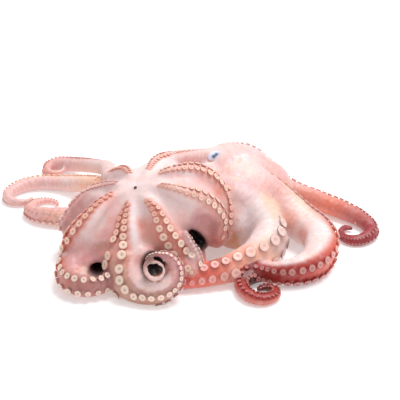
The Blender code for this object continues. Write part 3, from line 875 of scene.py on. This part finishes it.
    def nearest_runs(self, spots: np.ndarray) -> dict[str, np.ndarray]:
        """Find the closest free arm station for every vertex.

        Args:
            spots: vertex positions in layout millimetres.

        Returns:
            Distance over half width, share along the free run, facing (1 on the sucker side),
            length along the arm in millimetres and the arm's number.
        """
        knots = []
        for number, arm in enumerate(self.arms):
            fine = curve_through([row[:7] for row in arm.free], 2.5)
            length = 0.0
            for i, row in enumerate(fine):
                length += math.dist(row[:3], fine[i - 1][:3]) if i else 0.0
                knots.append((row, i / (len(fine) - 1), length, number))
        tree = KDTree(len(knots))
        for i, knot in enumerate(knots):
            tree.insert(knot[0][:3], i)
        tree.balance()
        found = {key: np.zeros(len(spots)) for key in ("ratio", "share", "facing", "length", "arm")}
        for i, spot in enumerate(spots):
            best, score = None, 1e9
            for where, index, distance in tree.find_n(spot, 3):
                if distance / knots[index][0][3] < score:
                    best, score = index, distance / knots[index][0][3]
            row, share, length, number = knots[best]
            arrow = Vector(spot) - Vector(row[:3])
            out = Vector(row[4:7]).normalized()
            found["ratio"][i] = score
            found["share"][i] = share
            found["facing"][i] = arrow.normalized().dot(out)
            found["length"][i] = length
            found["arm"][i] = number
        return found

    def wrinkle(self) -> None:
        """Press fine folds across the free arms and soft folds into the trunk."""
        places = self.places()
        spots = self.layout.millimetres(places)
        near = nearest = self.nearest_runs(spots)
        normals = self.normals()
        on_arm = 1.0 - ease(1.15, 1.5, near["ratio"])
        back = 1.0 - ease(0.1, 0.5, near["facing"])
        wobble = np.array([noise.noise(Vector(s) * 0.05) for s in spots])
        fold = np.sin(nearest["length"] * 2 * math.pi / 7.5 + wobble * 5.0)
        soft = np.array([noise.fractal(Vector(s) * 0.045, 1.0, 2.0, 3) for s in spots])
        fine = np.array([noise.fractal(Vector(s) * 0.16, 1.0, 2.0, 2) for s in spots])
        lift = on_arm * back * fold * 0.32 + soft * 0.9 + fine * 0.28
        lift *= ease(1.0, 6.0, spots[:, 2])
        self.move(places + normals * (lift * MM)[:, None])

    def mound(self, seats: list[SuckerSeat]) -> None:
        """Raise a small mound under every sucker.

        Args:
            seats: the suckers' seats.
        """
        places = self.places()
        tree = KDTree(len(seats))
        for i, seat in enumerate(seats):
            tree.insert(seat.place, i)
        tree.balance()
        for i, spot in enumerate(places):
            where, index, distance = tree.find(spot)
            seat = seats[index]
            share = distance / (seat.radius * 1.7)
            if share < 1.0:
                rise = (1.0 - share * share) ** 2 * seat.radius * 0.32
                places[i] = np.array(Vector(spot) + seat.axis * rise)
        places[:, 2] = np.maximum(places[:, 2], 0.0)
        self.move(places)

    def paint(self, seats: list[SuckerSeat]) -> None:
        """Colour the skin point by point, with painted shade in and round the pockets and painted light and shade in
        some dabs and stains, and store it as an attribute.

        Args:
            seats: the suckers' seats, which tint the skin round them.
        """
        spots = self.layout.millimetres(self.places())
        top = np.zeros((len(spots), 3))
        total = np.zeros(len(spots))
        drift = np.array([noise.noise_vector(Vector(spot) * 0.045) for spot in spots]) * 9.0
        for dab in self.dabs:
            gap = np.linalg.norm(spots + drift - np.array(dab.spot), axis=1) + 4.0
            pull = dab.weight / gap ** 4
            top += pull[:, None] * dab.tone.linear()
            total += pull
        colour = top / total[:, None]
        near = self.nearest_runs(spots)
        arm_colour = np.zeros_like(colour)
        for number, arm in enumerate(self.arms):
            mine = near["arm"] == number
            keys = [key for key, back, bed in arm.tones]
            backs = np.array([back.linear() for key, back, bed in arm.tones])
            beds = np.array([bed.linear() for key, back, bed in arm.tones])
            share = near["share"][mine]
            back = np.stack([np.interp(share, keys, backs[:, c]) for c in range(3)], axis=1)
            bed = np.stack([np.interp(share, keys, beds[:, c]) for c in range(3)], axis=1)
            facing = ease(0.05, 0.6, near["facing"][mine])[:, None]
            wave = np.sin(near["length"][mine] * 2 * math.pi / 7.5 + drift[mine, 0] * 0.5)[:, None]
            tint = 1.0 - arm.stripes * (0.5 - 0.5 * wave) * np.array((0.4, 1.6, 2.2))
            arm_colour[mine] = (back * (1.0 - facing) + bed * facing) * tint
        hold = (1.0 - ease(1.25, 1.9, near["ratio"])) * ease(0.0, 0.08, near["share"])
        colour = colour * (1.0 - hold[:, None]) + arm_colour * hold[:, None]
        tree = KDTree(len(seats))
        for i, seat in enumerate(seats):
            tree.insert(seat.place, i)
        tree.balance()
        places = self.places()
        for i, spot in enumerate(places):
            where, index, distance = tree.find(spot)
            seat = seats[index]
            share = min(1.0, max(0.0, (distance / seat.radius - 0.9) / 1.6))
            pull = 0.8 * (1.0 - share * share * (3 - 2 * share))
            if pull > 0:
                colour[i] = colour[i] * (1.0 - pull) + seat.bed * pull
        # painted shade: plum round the rim of each pocket and near black inside it, where shade falls
        rim_shade, shade = self.pocket_shade(spots)
        colour = colour * (1.0 - rim_shade) + Tone.PLUM.linear() * 0.7 * rim_shade
        colour = colour * (1.0 - shade) + Tone.DEEP.linear() * shade
        # stains of the skin, with painted shade and painted light among them
        for centre, tone, reach, strength in self.stains_with_painted_light_and_shade:
            gap = np.linalg.norm(spots + drift * 0.4 - np.array(centre), axis=1)
            cover = (strength * (1.0 - ease(reach * 0.4, reach, gap)))[:, None]
            colour = colour * (1.0 - cover) + tone.linear() * cover
        data = self.piece.data
        for layer in list(data.color_attributes):
            data.color_attributes.remove(layer)
        layer = data.color_attributes.new("tone", "FLOAT_COLOR", "POINT")
        layer.data.foreach_set("color", np.column_stack([colour, np.ones(len(colour))]).ravel())

    def pocket_shade(self, spots: np.ndarray) -> tuple[np.ndarray, np.ndarray]:
        """Give the painted shade round and inside each pocket between the curls, from how near to it and how deep in
        it every vertex lies.

        Args:
            spots: vertex positions in layout millimetres.

        Returns:
            Shares from 0 to 1 of painted shade for the rim of the pocket and for its depth, as columns.
        """
        rim_shade, found = np.zeros(len(spots)), np.zeros(len(spots))
        for centre, radii, inward, roll, rim in TrunkForm(self.layout).pockets:
            forward = Vector(inward).normalized()
            side = forward.cross(Vector((0, 0, 1))).normalized()
            turn = Matrix((side, forward, side.cross(forward))).transposed() @ Matrix.Rotation(math.radians(roll), 3, "Y")
            local = (spots - np.array(centre)) @ np.array(turn)
            depth = local[:, 1]
            wide = np.hypot(local[:, 0] / radii[0], local[:, 2] / radii[2])
            reach = (depth < radii[1] * 1.2) * ease(-26.0, -8.0, depth)
            rim_shade = np.maximum(rim_shade, rim * (1.0 - ease(0.9, 1.9, wide)) * reach)
            inside = 1.0 - ease(0.85, 1.2, wide)
            found = np.maximum(found, inside * ease(-4.0, 10.0, depth) * (depth < radii[1] * 1.2))
        return rim_shade[:, None], found[:, None]

    def dress(self) -> None:
        """Give the skin its finish and its place in the part."""
        data = self.piece.data
        data.materials.clear()
        data.materials.append(SkinFinish().make())
        pick(self.piece)
        bpy.ops.object.shade_smooth()
        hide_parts(NODE)
        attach(self.piece, "root")


@dataclass
class SuckerRows:
    """All suckers: one cup, modelled once and set along the two rows of every arm."""

    layout: Layout
    arms: list[ArmPlan]
    sides: int = 10
    seed: int = 11
    piece: bpy.types.Object = None
    # height and radius of each ring of the cup, from the sunk foot to the dimple
    rings: tuple[tuple[float, float], ...] = (
        (-0.7, 0.66), (0.10, 0.72), (0.34, 1.0), (0.46, 0.99), (0.54, 0.86), (0.50, 0.36), (0.38, 0.18))

    def cup(self) -> bpy.types.Object:
        """Model one sucker of radius 1 that faces +Z.

        Returns:
            The cup.
        """
        deselect()
        height, radius = self.rings[0]
        bpy.ops.mesh.primitive_circle_add(vertices=self.sides, radius=radius, location=(0, 0, height))
        made = bpy.context.object
        settle(made)
        bpy.ops.object.mode_set(mode="EDIT")
        bpy.ops.mesh.select_all(action="SELECT")
        bpy.ops.mesh.edge_face_add()
        bpy.ops.mesh.select_mode(type="EDGE")
        for (low, narrow), (high, wide) in zip(self.rings, self.rings[1:]):
            bpy.ops.mesh.extrude_edges_move(TRANSFORM_OT_translate={"value": (0, 0, high - low)})
            bpy.ops.transform.resize(value=(wide / narrow, wide / narrow, 1.0), center_override=(0, 0, high))
        bpy.ops.mesh.edge_face_add()
        bpy.ops.mesh.select_all(action="SELECT")
        bpy.ops.mesh.normals_make_consistent(inside=False)
        bpy.ops.object.mode_set(mode="OBJECT")
        return made

    def seats(self, skin: bpy.types.Object) -> list[SuckerSeat]:
        """Find every sucker's seat on the skin.

        Args:
            skin: the smooth skin.

        Returns:
            The seats.
        """
        tree = BVHTree.FromObject(skin, bpy.context.evaluated_depsgraph_get())
        dice = random.Random(self.seed)
        found = []
        for number, arm in enumerate(self.arms):
            for lane in arm.lanes():
                found += self.row_seats(number, lane, tree, dice)
        return found

    def own(self, seats: list[SuckerSeat], near: dict[str, np.ndarray]) -> list[SuckerSeat]:
        """Drop the seats that fell on another arm.

        Args:
            seats: all seats.
            near: the closest free run of every seat.

        Returns:
            The seats that lie on their own arm.
        """
        return [seat for seat, arm, ratio in zip(seats, near["arm"], near["ratio"])
                if arm == seat.arm or ratio > (1.12 if seat.free > 0.5 and not self.arms[seat.arm].shift else 0.9)]

    def row_seats(self, number: int, lane: Run, tree: BVHTree, dice: random.Random) -> list[SuckerSeat]:
        """Set the two rows along one line of an arm.

        Args:
            number: the arm's number.
            lane: the line between the rows.
            tree: the skin, for finding its surface.
            dice: the source of small differences.

        Returns:
            The seats on this arm.
        """
        arm = self.arms[number]
        path = curve_through(lane, 1.0)
        found = []
        start = sum(1 for row in path if row[8] < 0.5)
        travelled, due, side = 0.0, 3.0, 1
        for i in range(1, len(path) - 1):
            row = path[i]
            travelled += math.dist(row[:3], path[i - 1][:3])
            width, disc, free = row[6], row[7], row[8]
            if disc < 1.4 or travelled < due:
                continue
            along = (Vector(path[i + 1][:3]) - Vector(path[i - 1][:3])).normalized()
            out = Vector(row[3:6]).normalized()
            out = (out - along * out.dot(along)).normalized()
            across = along.cross(out)
            offset = side * max(arm.spread * width, 0.52 * disc)
            if free > 0.5 and arm.shift:
                offset += arm.shift * width * (1.0 if across.x < 0 else -1.0)
            spot = Vector(row[:3]) + across * offset
            axis = (out + across * side * 0.42).normalized()
            reach = (0.55 * width + (4.0 if free > 0.5 else 9.0)) * MM
            hit, normal = self.surface_near(tree, self.layout.metres(spot), axis, reach)
            radius = 0.5 * disc * MM * dice.uniform(0.92, 1.06)
            if hit is not None and any((hit - other.place).length < 0.86 * (radius + other.radius)
                                       for other in found[-3:]):
                continue
            side = -side
            due = travelled + disc * arm.pitch * dice.uniform(0.96, 1.06)
            if hit is None or hit.z < 0.0008:
                continue
            lean = (normal * 0.6 + axis * 0.4).normalized()
            bed, rim = self.tones(arm, row, (i - start) / (len(path) - start + 1), dice)
            # share of painted shade in the hollow middle of the cup
            dimple_shade = 0.22 if free > 0.5 and arm.folded else 0.4
            found.append(SuckerSeat(hit, lean, along, radius, bed, rim, dimple_shade, arm.tall, number, free))
        return found

    def surface_near(self, tree: BVHTree, spot: Vector, axis: Vector,
                     reach: float) -> tuple[Vector | None, Vector | None]:
        """Find the surface that faces the axis and lies closest to a spot.

        Args:
            tree: the skin.
            spot: the expected place, in metres.
            axis: the direction out of the arm.
            reach: how far from the spot to look, in metres.

        Returns:
            The place and its normal, or two times None.
        """
        best, best_normal, nearest = None, None, reach
        start = spot + axis * reach
        for _ in range(8):
            left = 2 * reach - (spot + axis * reach - start).length
            if left <= 0:
                break
            hit, normal, index, distance = tree.ray_cast(start, -axis, left)
            if hit is None:
                break
            if normal.dot(axis) > 0.05 and (hit - spot).length < nearest:
                best, best_normal, nearest = hit, normal, (hit - spot).length
            start = hit - axis * 0.0002
        return best, best_normal

    def tones(self, arm: ArmPlan, row: tuple[float, ...], share: float,
              dice: random.Random) -> tuple[np.ndarray, np.ndarray]:
        """Pick the tone of the skin round a sucker and of its rim.

        Args:
            arm: the arm's plan.
            row: the station.
            share: how far along the free run, below 0 on the rib.
            dice: the source of small differences.

        Returns:
            The two tones in linear light.
        """
        if row[8] < 0.5:
            bed = (arm.bed if row[8] < 0.1 else Tone.BLUSH).linear()
            blend = min(0.6, max(0.06, (11.0 - row[7]) / 9.0))
            rim = Tone.CREAM.linear() * (1.0 - blend) + bed * blend
        else:
            keys = [key for key, back, tone in arm.tones]
            beds = np.array([tone.linear() for key, back, tone in arm.tones])
            bed = np.array([np.interp(share, keys, beds[:, c]) for c in range(3)])
            cream = min(1.0, max(0.0, arm.pale[0] + (arm.pale[1] - arm.pale[0]) * share))
            pale = Tone.FLESH if arm.folded else Tone.CREAM
            rim = pale.linear() * (0.15 + 0.75 * cream) + bed * (0.85 - 0.75 * cream)
        return bed, rim * dice.uniform(0.93, 1.03)

    def build(self, seats: list[SuckerSeat]) -> None:
        """Copy the cup onto every seat.

        Args:
            seats: the suckers' seats.
        """
        cup = self.cup()
        shape = np.array([vert.co[:] for vert in cup.data.vertices])
        faces = [tuple(face.vertices) for face in cup.data.polygons]
        ring_of = np.array([min(range(len(self.rings)), key=lambda k: abs(self.rings[k][0] - v[2])
                                + abs(self.rings[k][1] - math.hypot(v[0], v[1]))) for v in shape])
        bpy.data.objects.remove(cup, do_unlink=True)
        places, polygons, colours = [], [], []
        for seat in seats:
            side = seat.axis.cross(seat.along).normalized()
            ahead = side.cross(seat.axis)
            turn = np.array([side, ahead, seat.axis * seat.tall]).T * seat.radius
            offset = len(places) * len(shape)
            cup_places = shape @ turn.T + np.array(seat.place)
            cup_places[:, 2] = np.maximum(cup_places[:, 2], 0.0002)
            places.append(cup_places)
            polygons += [tuple(v + offset for v in face) for face in faces]
            # painted shade: the cup's outer wall and the hollow in its middle take a darker tone, and the neck under
            # the rim a little of it
            dark = seat.bed * self.arms[seat.arm].side
            middle = seat.rim * (1.0 - seat.dimple_shade) + dark * seat.dimple_shade
            ladder = np.array([seat.bed, seat.bed * 0.9, dark, dark, seat.rim, seat.rim * 0.92 + seat.bed * 0.05, middle])
            colours.append(ladder[ring_of])
        mesh = bpy.data.meshes.new("suckers")
        mesh.from_pydata(np.concatenate(places).tolist(), [], polygons)
        layer = mesh.color_attributes.new("tone", "FLOAT_COLOR", "POINT")
        stacked = np.concatenate(colours)
        layer.data.foreach_set("color", np.column_stack([stacked, np.ones(len(stacked))]).ravel())
        self.piece = bpy.data.objects.new("suckers", mesh)
        bpy.context.scene.collection.objects.link(self.piece)
        mesh.materials.append(SuckerFinish().make())
        pick(self.piece)
        bpy.ops.object.shade_smooth()
        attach(self.piece, "root")


@dataclass
class EyePiece:
    """The clouded eye: a low lens with a dark, lobed pupil under a clear rim."""

    layout: Layout
    skin: bpy.types.Object
    spot: Triple = (30.0, 48.0, 89.0)
    facing: Triple = (0.25, -0.72, 0.62)
    size: tuple[float, float, float] = (10.5, 5.4, 1.8)
    tilt: float = 22.0
    piece: bpy.types.Object = None

    def seat(self) -> Matrix:
        """Find the eye's place and turn on the head."""
        tree = BVHTree.FromObject(self.skin, bpy.context.evaluated_depsgraph_get())
        place, normal, index, distance = tree.find_nearest(self.layout.metres(self.spot))
        side = ACROSS - normal * ACROSS.dot(normal)
        side = Matrix.Rotation(math.radians(self.tilt), 3, normal) @ side.normalized()
        return Matrix.Translation(place) @ Matrix((side, normal.cross(side), normal)).transposed().to_4x4()

    def lens(self) -> bpy.types.Object:
        """Model the clouded lens, with a rim pressed round it."""
        deselect()
        bpy.ops.mesh.primitive_uv_sphere_add(segments=32, ring_count=16, radius=1.0, location=(0, 0, 0))
        made = bpy.context.object
        for vert in made.data.vertices:
            wide = math.hypot(vert.co.x, vert.co.y)
            groove = math.exp(-((wide - 0.72) / 0.08) ** 2) * 0.12
            vert.co.z = vert.co.z * (1.0 - groove)
            vert.co.y *= 1.0 - 0.18 * vert.co.x
        return made

    def build(self) -> None:
        """Model the eye and set it in the head."""
        made = self.lens()
        made.name = "eye"
        size = Matrix.Diagonal((*(Vector(self.size) * MM), 1.0))
        made.matrix_world = self.seat() @ size
        local = [vert.co.copy() for vert in made.data.vertices]
        settle(made)
        layer = made.data.color_attributes.new("tone", "FLOAT_COLOR", "POINT")
        for i, spot in enumerate(local):
            left = math.hypot((spot.x + 0.24) / 0.26, (spot.y + 0.12) / 0.40)
            right = math.hypot((spot.x - 0.16) / 0.24, (spot.y - 0.12) / 0.36)
            dark = 1.0 - float(ease(0.75, 1.25, np.array(min(left, right))))
            haze = float(ease(0.55, 1.0, np.array(math.hypot(spot.x, spot.y))))
            pale = Tone.ICE.linear() * (1.0 - haze) + Tone.LILAC.linear() * haze
            layer.data[i].color = (*(pale * (1.0 - dark) + Tone.NAVY.linear() * dark), 1.0)
        made.data.materials.append(EyeFinish().make())
        pick(made)
        bpy.ops.object.shade_smooth()
        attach(made, "root")
        self.piece = made


@dataclass
class BeakPiece:
    """The tip of the beak that shows in the mouth, in a ring of lip."""

    layout: Layout
    skin: bpy.types.Object
    spot: Triple = (-64.0, -60.0, 103.0)
    size: float = 2.2

    def build(self) -> None:
        """Model two hooked plates that meet in the mouth."""
        tree = BVHTree.FromObject(self.skin, bpy.context.evaluated_depsgraph_get())
        place, normal, index, distance = tree.find_nearest(self.layout.metres(self.spot))
        parts = []
        for turn in (0.0, math.pi):
            deselect()
            bpy.ops.mesh.primitive_cone_add(vertices=14, radius1=1.0, radius2=0.12, depth=1.6, location=(0, 0, 0.35))
            plate = bpy.context.object
            settle(plate)
            bpy.ops.object.mode_set(mode="EDIT")
            bpy.ops.mesh.select_all(action="SELECT")
            bpy.ops.mesh.subdivide(number_cuts=2, smoothness=0.4)
            bpy.ops.object.mode_set(mode="OBJECT")
            for vert in plate.data.vertices:
                vert.co.x = vert.co.x * 0.55 + 0.36 - 0.24 * max(0.0, vert.co.z) ** 2
            plate.matrix_world = Matrix.Rotation(turn, 4, "Z")
            settle(plate)
            parts.append(plate)
        made = join(parts, "beak")
        turn = Vector((0, 0, 1)).rotation_difference(normal).to_matrix().to_4x4()
        made.matrix_world = Matrix.Translation(place) @ turn @ Matrix.Scale(self.size * MM, 4)
        settle(made)
        made.data.materials.append(BeakFinish().make())
        pick(made)
        bpy.ops.object.shade_smooth()
        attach(made, "root")


class NodeBench:
    """Builds one material's node tree."""

    def __init__(self, name: str) -> None:
        """Start a material with a Principled shader."""
        self.material = bpy.data.materials.new(name)
        self.material.use_nodes = True
        self.tree = self.material.node_tree
        self.shader = self.tree.nodes["Principled BSDF"]

    def node(self, kind: str, **values: object) -> bpy.types.Node:
        """Add a node and set its properties or inputs.

        Args:
            kind: the node's type.
            values: property or input names with their values.

        Returns:
            The node.
        """
        made = self.tree.nodes.new(kind)
        for name, value in values.items():
            if hasattr(made, name):
                setattr(made, name, value)
            else:
                made.inputs[name.replace("_", " ")].default_value = value
        return made

    def link(self, source: bpy.types.NodeSocket, target: bpy.types.NodeSocket) -> None:
        """Connect two sockets."""
        self.tree.links.new(source, target)

    def noise(self, scale: float, detail: float = 4.0, rough: float = 0.55) -> bpy.types.NodeSocket:
        """Add a noise pattern on object coordinates.

        Args:
            scale: cells per metre.
            detail: number of octaves.
            rough: strength of the small ones.

        Returns:
            The pattern's value.
        """
        place = self.node("ShaderNodeTexCoord")
        made = self.node("ShaderNodeTexNoise", Scale=scale, Detail=detail, Roughness=rough)
        self.link(place.outputs["Object"], made.inputs["Vector"])
        return made.outputs["Fac"]

    def spread(self, value: bpy.types.NodeSocket, low: float, high: float,
               start: float = 0.3, end: float = 0.7) -> bpy.types.NodeSocket:
        """Map a pattern to a range.

        Args:
            value: the pattern.
            low: the least result.
            high: the greatest result.
            start: the pattern's value for low.
            end: the pattern's value for high.

        Returns:
            The mapped value.
        """
        made = self.node("ShaderNodeMapRange")
        for name, number in (("From Min", start), ("From Max", end), ("To Min", low), ("To Max", high)):
            made.inputs[name].default_value = number
        self.link(value, made.inputs["Value"])
        return made.outputs["Result"]

    def mix(self, share: bpy.types.NodeSocket, first: object, second: object,
            blend: str = "MIX") -> bpy.types.NodeSocket:
        """Mix two colours.

        Args:
            share: how much of the second.
            first: a socket or a colour.
            second: a socket or a colour.
            blend: the way of mixing.

        Returns:
            The mixed colour.
        """
        made = self.node("ShaderNodeMix", data_type="RGBA", blend_type=blend)
        self.link(share, made.inputs[0])
        for socket, value in ((made.inputs[6], first), (made.inputs[7], second)):
            if isinstance(value, bpy.types.NodeSocket):
                self.link(value, socket)
            else:
                socket.default_value = value
        return made.outputs[2]

    def tone(self) -> bpy.types.NodeSocket:
        """Read the painted colour."""
        return self.node("ShaderNodeAttribute", attribute_name="tone").outputs["Color"]

    def bump(self, height: bpy.types.NodeSocket, strength: float, distance: float,
             under: bpy.types.NodeSocket = None) -> bpy.types.NodeSocket:
        """Add a bump.

        Args:
            height: the height pattern.
            strength: its share.
            distance: its depth in metres.
            under: a normal to build on.

        Returns:
            The bent normal.
        """
        made = self.node("ShaderNodeBump", Strength=strength, Distance=distance)
        self.link(height, made.inputs["Height"])
        if under:
            self.link(under, made.inputs["Normal"])
        return made.outputs["Normal"]


@dataclass(frozen=True)
class SkinFinish:
    """Wet, slightly translucent skin with fine mottling."""

    gloss: float = 0.42
    depth: float = 0.006

    def make(self) -> bpy.types.Material:
        """Build the material."""
        bench = NodeBench("wet_skin")
        shader = bench.shader
        blotch = bench.spread(bench.noise(31.0, 4.0), 0.0, 0.6, 0.48, 0.68)
        colour = bench.mix(blotch, bench.tone(), (1.0, 0.86, 0.76, 1.0), "MULTIPLY")
        cool = bench.spread(bench.noise(23.0, 3.0), 0.0, 0.5, 0.5, 0.72)
        colour = bench.mix(cool, colour, (0.93, 0.86, 0.92, 1.0), "MULTIPLY")
        speck = bench.spread(bench.noise(330.0, 3.0), 0.0, 0.4, 0.52, 0.72)
        colour = bench.mix(speck, colour, (0.88, 0.66, 0.62, 1.0), "MULTIPLY")
        pale = bench.spread(bench.noise(150.0, 4.0), 0.0, 0.14, 0.5, 0.75)
        colour = bench.mix(pale, colour, (0.95, 0.86, 0.86, 1.0))
        bench.link(colour, shader.inputs["Base Color"])
        bench.link(bench.spread(bench.noise(90.0), self.gloss - 0.08, self.gloss + 0.1), shader.inputs["Roughness"])
        coarse = bench.bump(bench.noise(210.0, 5.0), 0.35, 0.0009)
        bench.link(bench.bump(bench.noise(900.0, 3.0), 0.25, 0.0003, coarse), shader.inputs["Normal"])
        shader.inputs["Subsurface Weight"].default_value = 0.35
        shader.inputs["Subsurface Radius"].default_value = (1.0, 0.42, 0.28)
        shader.inputs["Subsurface Scale"].default_value = self.depth
        shader.inputs["Coat Weight"].default_value = 0.12
        shader.inputs["Coat Roughness"].default_value = 0.2
        shader.inputs["IOR"].default_value = 1.36
        return bench.material


@dataclass(frozen=True)
class SuckerFinish:
    """Firm, moist suckers with a fine grain."""

    gloss: float = 0.4

    def make(self) -> bpy.types.Material:
        """Build the material."""
        bench = NodeBench("sucker_flesh")
        shader = bench.shader
        warm = bench.spread(bench.noise(260.0, 3.0), 0.0, 0.5)
        colour = bench.mix(warm, bench.tone(), (1.0, 0.90, 0.84, 1.0), "MULTIPLY")
        bench.link(colour, shader.inputs["Base Color"])
        bench.link(bench.spread(bench.noise(180.0), self.gloss - 0.08, self.gloss + 0.1), shader.inputs["Roughness"])
        bench.link(bench.bump(bench.noise(700.0, 3.0), 0.3, 0.0003), shader.inputs["Normal"])
        shader.inputs["Subsurface Weight"].default_value = 0.25
        shader.inputs["Subsurface Radius"].default_value = (1.0, 0.45, 0.3)
        shader.inputs["Subsurface Scale"].default_value = 0.003
        shader.inputs["Coat Weight"].default_value = 0.2
        shader.inputs["Coat Roughness"].default_value = 0.2
        return bench.material


@dataclass(frozen=True)
class EyeFinish:
    """Clouded, wet eye."""

    def make(self) -> bpy.types.Material:
        """Build the material."""
        bench = NodeBench("clouded_eye")
        shader = bench.shader
        cloud = bench.spread(bench.noise(900.0, 3.0), 0.0, 0.35)
        bench.link(bench.mix(cloud, bench.tone(), (0.60, 0.70, 0.92, 1.0)), shader.inputs["Base Color"])
        bench.link(bench.spread(bench.noise(500.0), 0.12, 0.24), shader.inputs["Roughness"])
        shader.inputs["Coat Weight"].default_value = 0.6
        shader.inputs["Coat Roughness"].default_value = 0.08
        return bench.material


@dataclass(frozen=True)
class BeakFinish:
    """Dark horn."""

    def make(self) -> bpy.types.Material:
        """Build the material."""
        bench = NodeBench("dark_horn")
        shader = bench.shader
        grain = bench.spread(bench.noise(1200.0, 3.0), 0.0, 1.0)
        bench.link(bench.mix(grain, (0.03, 0.018, 0.015, 1.0), (0.09, 0.05, 0.04, 1.0)), shader.inputs["Base Color"])
        bench.link(bench.spread(bench.noise(800.0), 0.25, 0.45), shader.inputs["Roughness"])
        return bench.material


@dataclass(frozen=True)
class FloorFinish:
    """Plain white table."""

    def make(self) -> bpy.types.Material:
        """Build the material."""
        bench = NodeBench("white_table")
        bench.shader.inputs["Base Color"].default_value = (0.9, 0.9, 0.91, 1.0)
        bench.shader.inputs["Roughness"].default_value = 0.9
        bench.shader.inputs["Emission Color"].default_value = (1.0, 1.0, 1.0, 1.0)
        bench.shader.inputs["Emission Strength"].default_value = 0.27
        bench.shader.inputs["Specular IOR Level"].default_value = 0.1
        return bench.material


@dataclass
class Studio:
    """Floor, soft light and camera."""

    layout: Layout
    elevation: float = 28.0
    distance: float = 2000.0
    aim: Triple = (11.4, 100.0, 0.0)
    lens: float = 141.7

    def floor(self) -> None:
        """Lay the floor."""
        deselect()
        bpy.ops.mesh.primitive_plane_add(size=9.0, location=(0, 0, 0))
        made = bpy.context.object
        made.name = "table_top"
        made.data.materials.append(FloorFinish().make())

    def lamp(self, name: str, place: Triple, size: float, power: float, colour: Triple = (1, 1, 1)) -> None:
        """Hang one soft lamp that faces the animal.

        Args:
            name: the lamp's name.
            place: where it hangs, in metres.
            size: its width in metres.
            power: its watts.
            colour: its colour.
        """
        data = bpy.data.lights.new(name, "AREA")
        data.shape = "DISK"
        data.size = size
        data.energy = power
        data.color = colour
        made = bpy.data.objects.new(name, data)
        made.location = place
        made.rotation_euler = (-Vector(place)).to_track_quat("-Z", "Y").to_euler()
        bpy.context.scene.collection.objects.link(made)

    def light(self) -> None:
        """Set the soft studio light."""
        world = bpy.data.worlds.new("studio")
        world.use_nodes = True
        sky = world.node_tree.nodes["Background"]
        sky.inputs["Color"].default_value = (1.0, 1.0, 1.0, 1.0)
        sky.inputs["Strength"].default_value = 0.62
        bpy.context.scene.world = world
        self.lamp("overhead", (0.5, 0.35, 1.9), 1.2, 32.0)
        bpy.context.scene.view_settings.view_transform = "Standard"
        bpy.context.scene.view_settings.look = "None"

    def camera(self) -> None:
        """Set the camera."""
        data = bpy.data.cameras.new("camera")
        data.lens = self.lens
        data.sensor_width = 36.0
        made = bpy.data.objects.new("camera", data)
        tilt = math.radians(self.elevation)
        away = Vector((0.0, -math.cos(tilt), math.sin(tilt))) * self.distance
        made.location = self.layout.metres(Vector(self.aim) + away)
        made.rotation_euler = (math.pi / 2 - tilt, 0.0, 0.0)
        bpy.context.scene.collection.objects.link(made)
        bpy.context.scene.camera = made

    def build(self) -> None:
        """Set up the studio."""
        self.floor()
        self.light()
        self.camera()


def main() -> None:
    """Build the octopus and its studio."""
    logging.basicConfig(level=logging.INFO, format="%(message)s")
    layout = Layout.of_node(NODE)
    arms = eight_arms()
    skin = SkinPiece(layout, arms)
    skin.shape()
    log.info("skin shaped: %d faces", len(skin.piece.data.polygons))
    rows = SuckerRows(layout, arms)
    seats = rows.seats(skin.piece)
    spots = layout.millimetres(np.array([seat.place for seat in seats]))
    seats = rows.own(seats, skin.nearest_runs(spots))
    skin.wrinkle()
    skin.mound(seats)
    skin.paint(seats)
    skin.dress()
    log.info("skin finished")
    rows.build(seats)
    log.info("suckers: %d", len(seats))
    EyePiece(layout, skin.piece).build()
    BeakPiece(layout, skin.piece).build()
    log.info("eye and beak set")
    Studio(layout).build()
    log.info("studio ready")


if __name__ == "__main__":
    main()
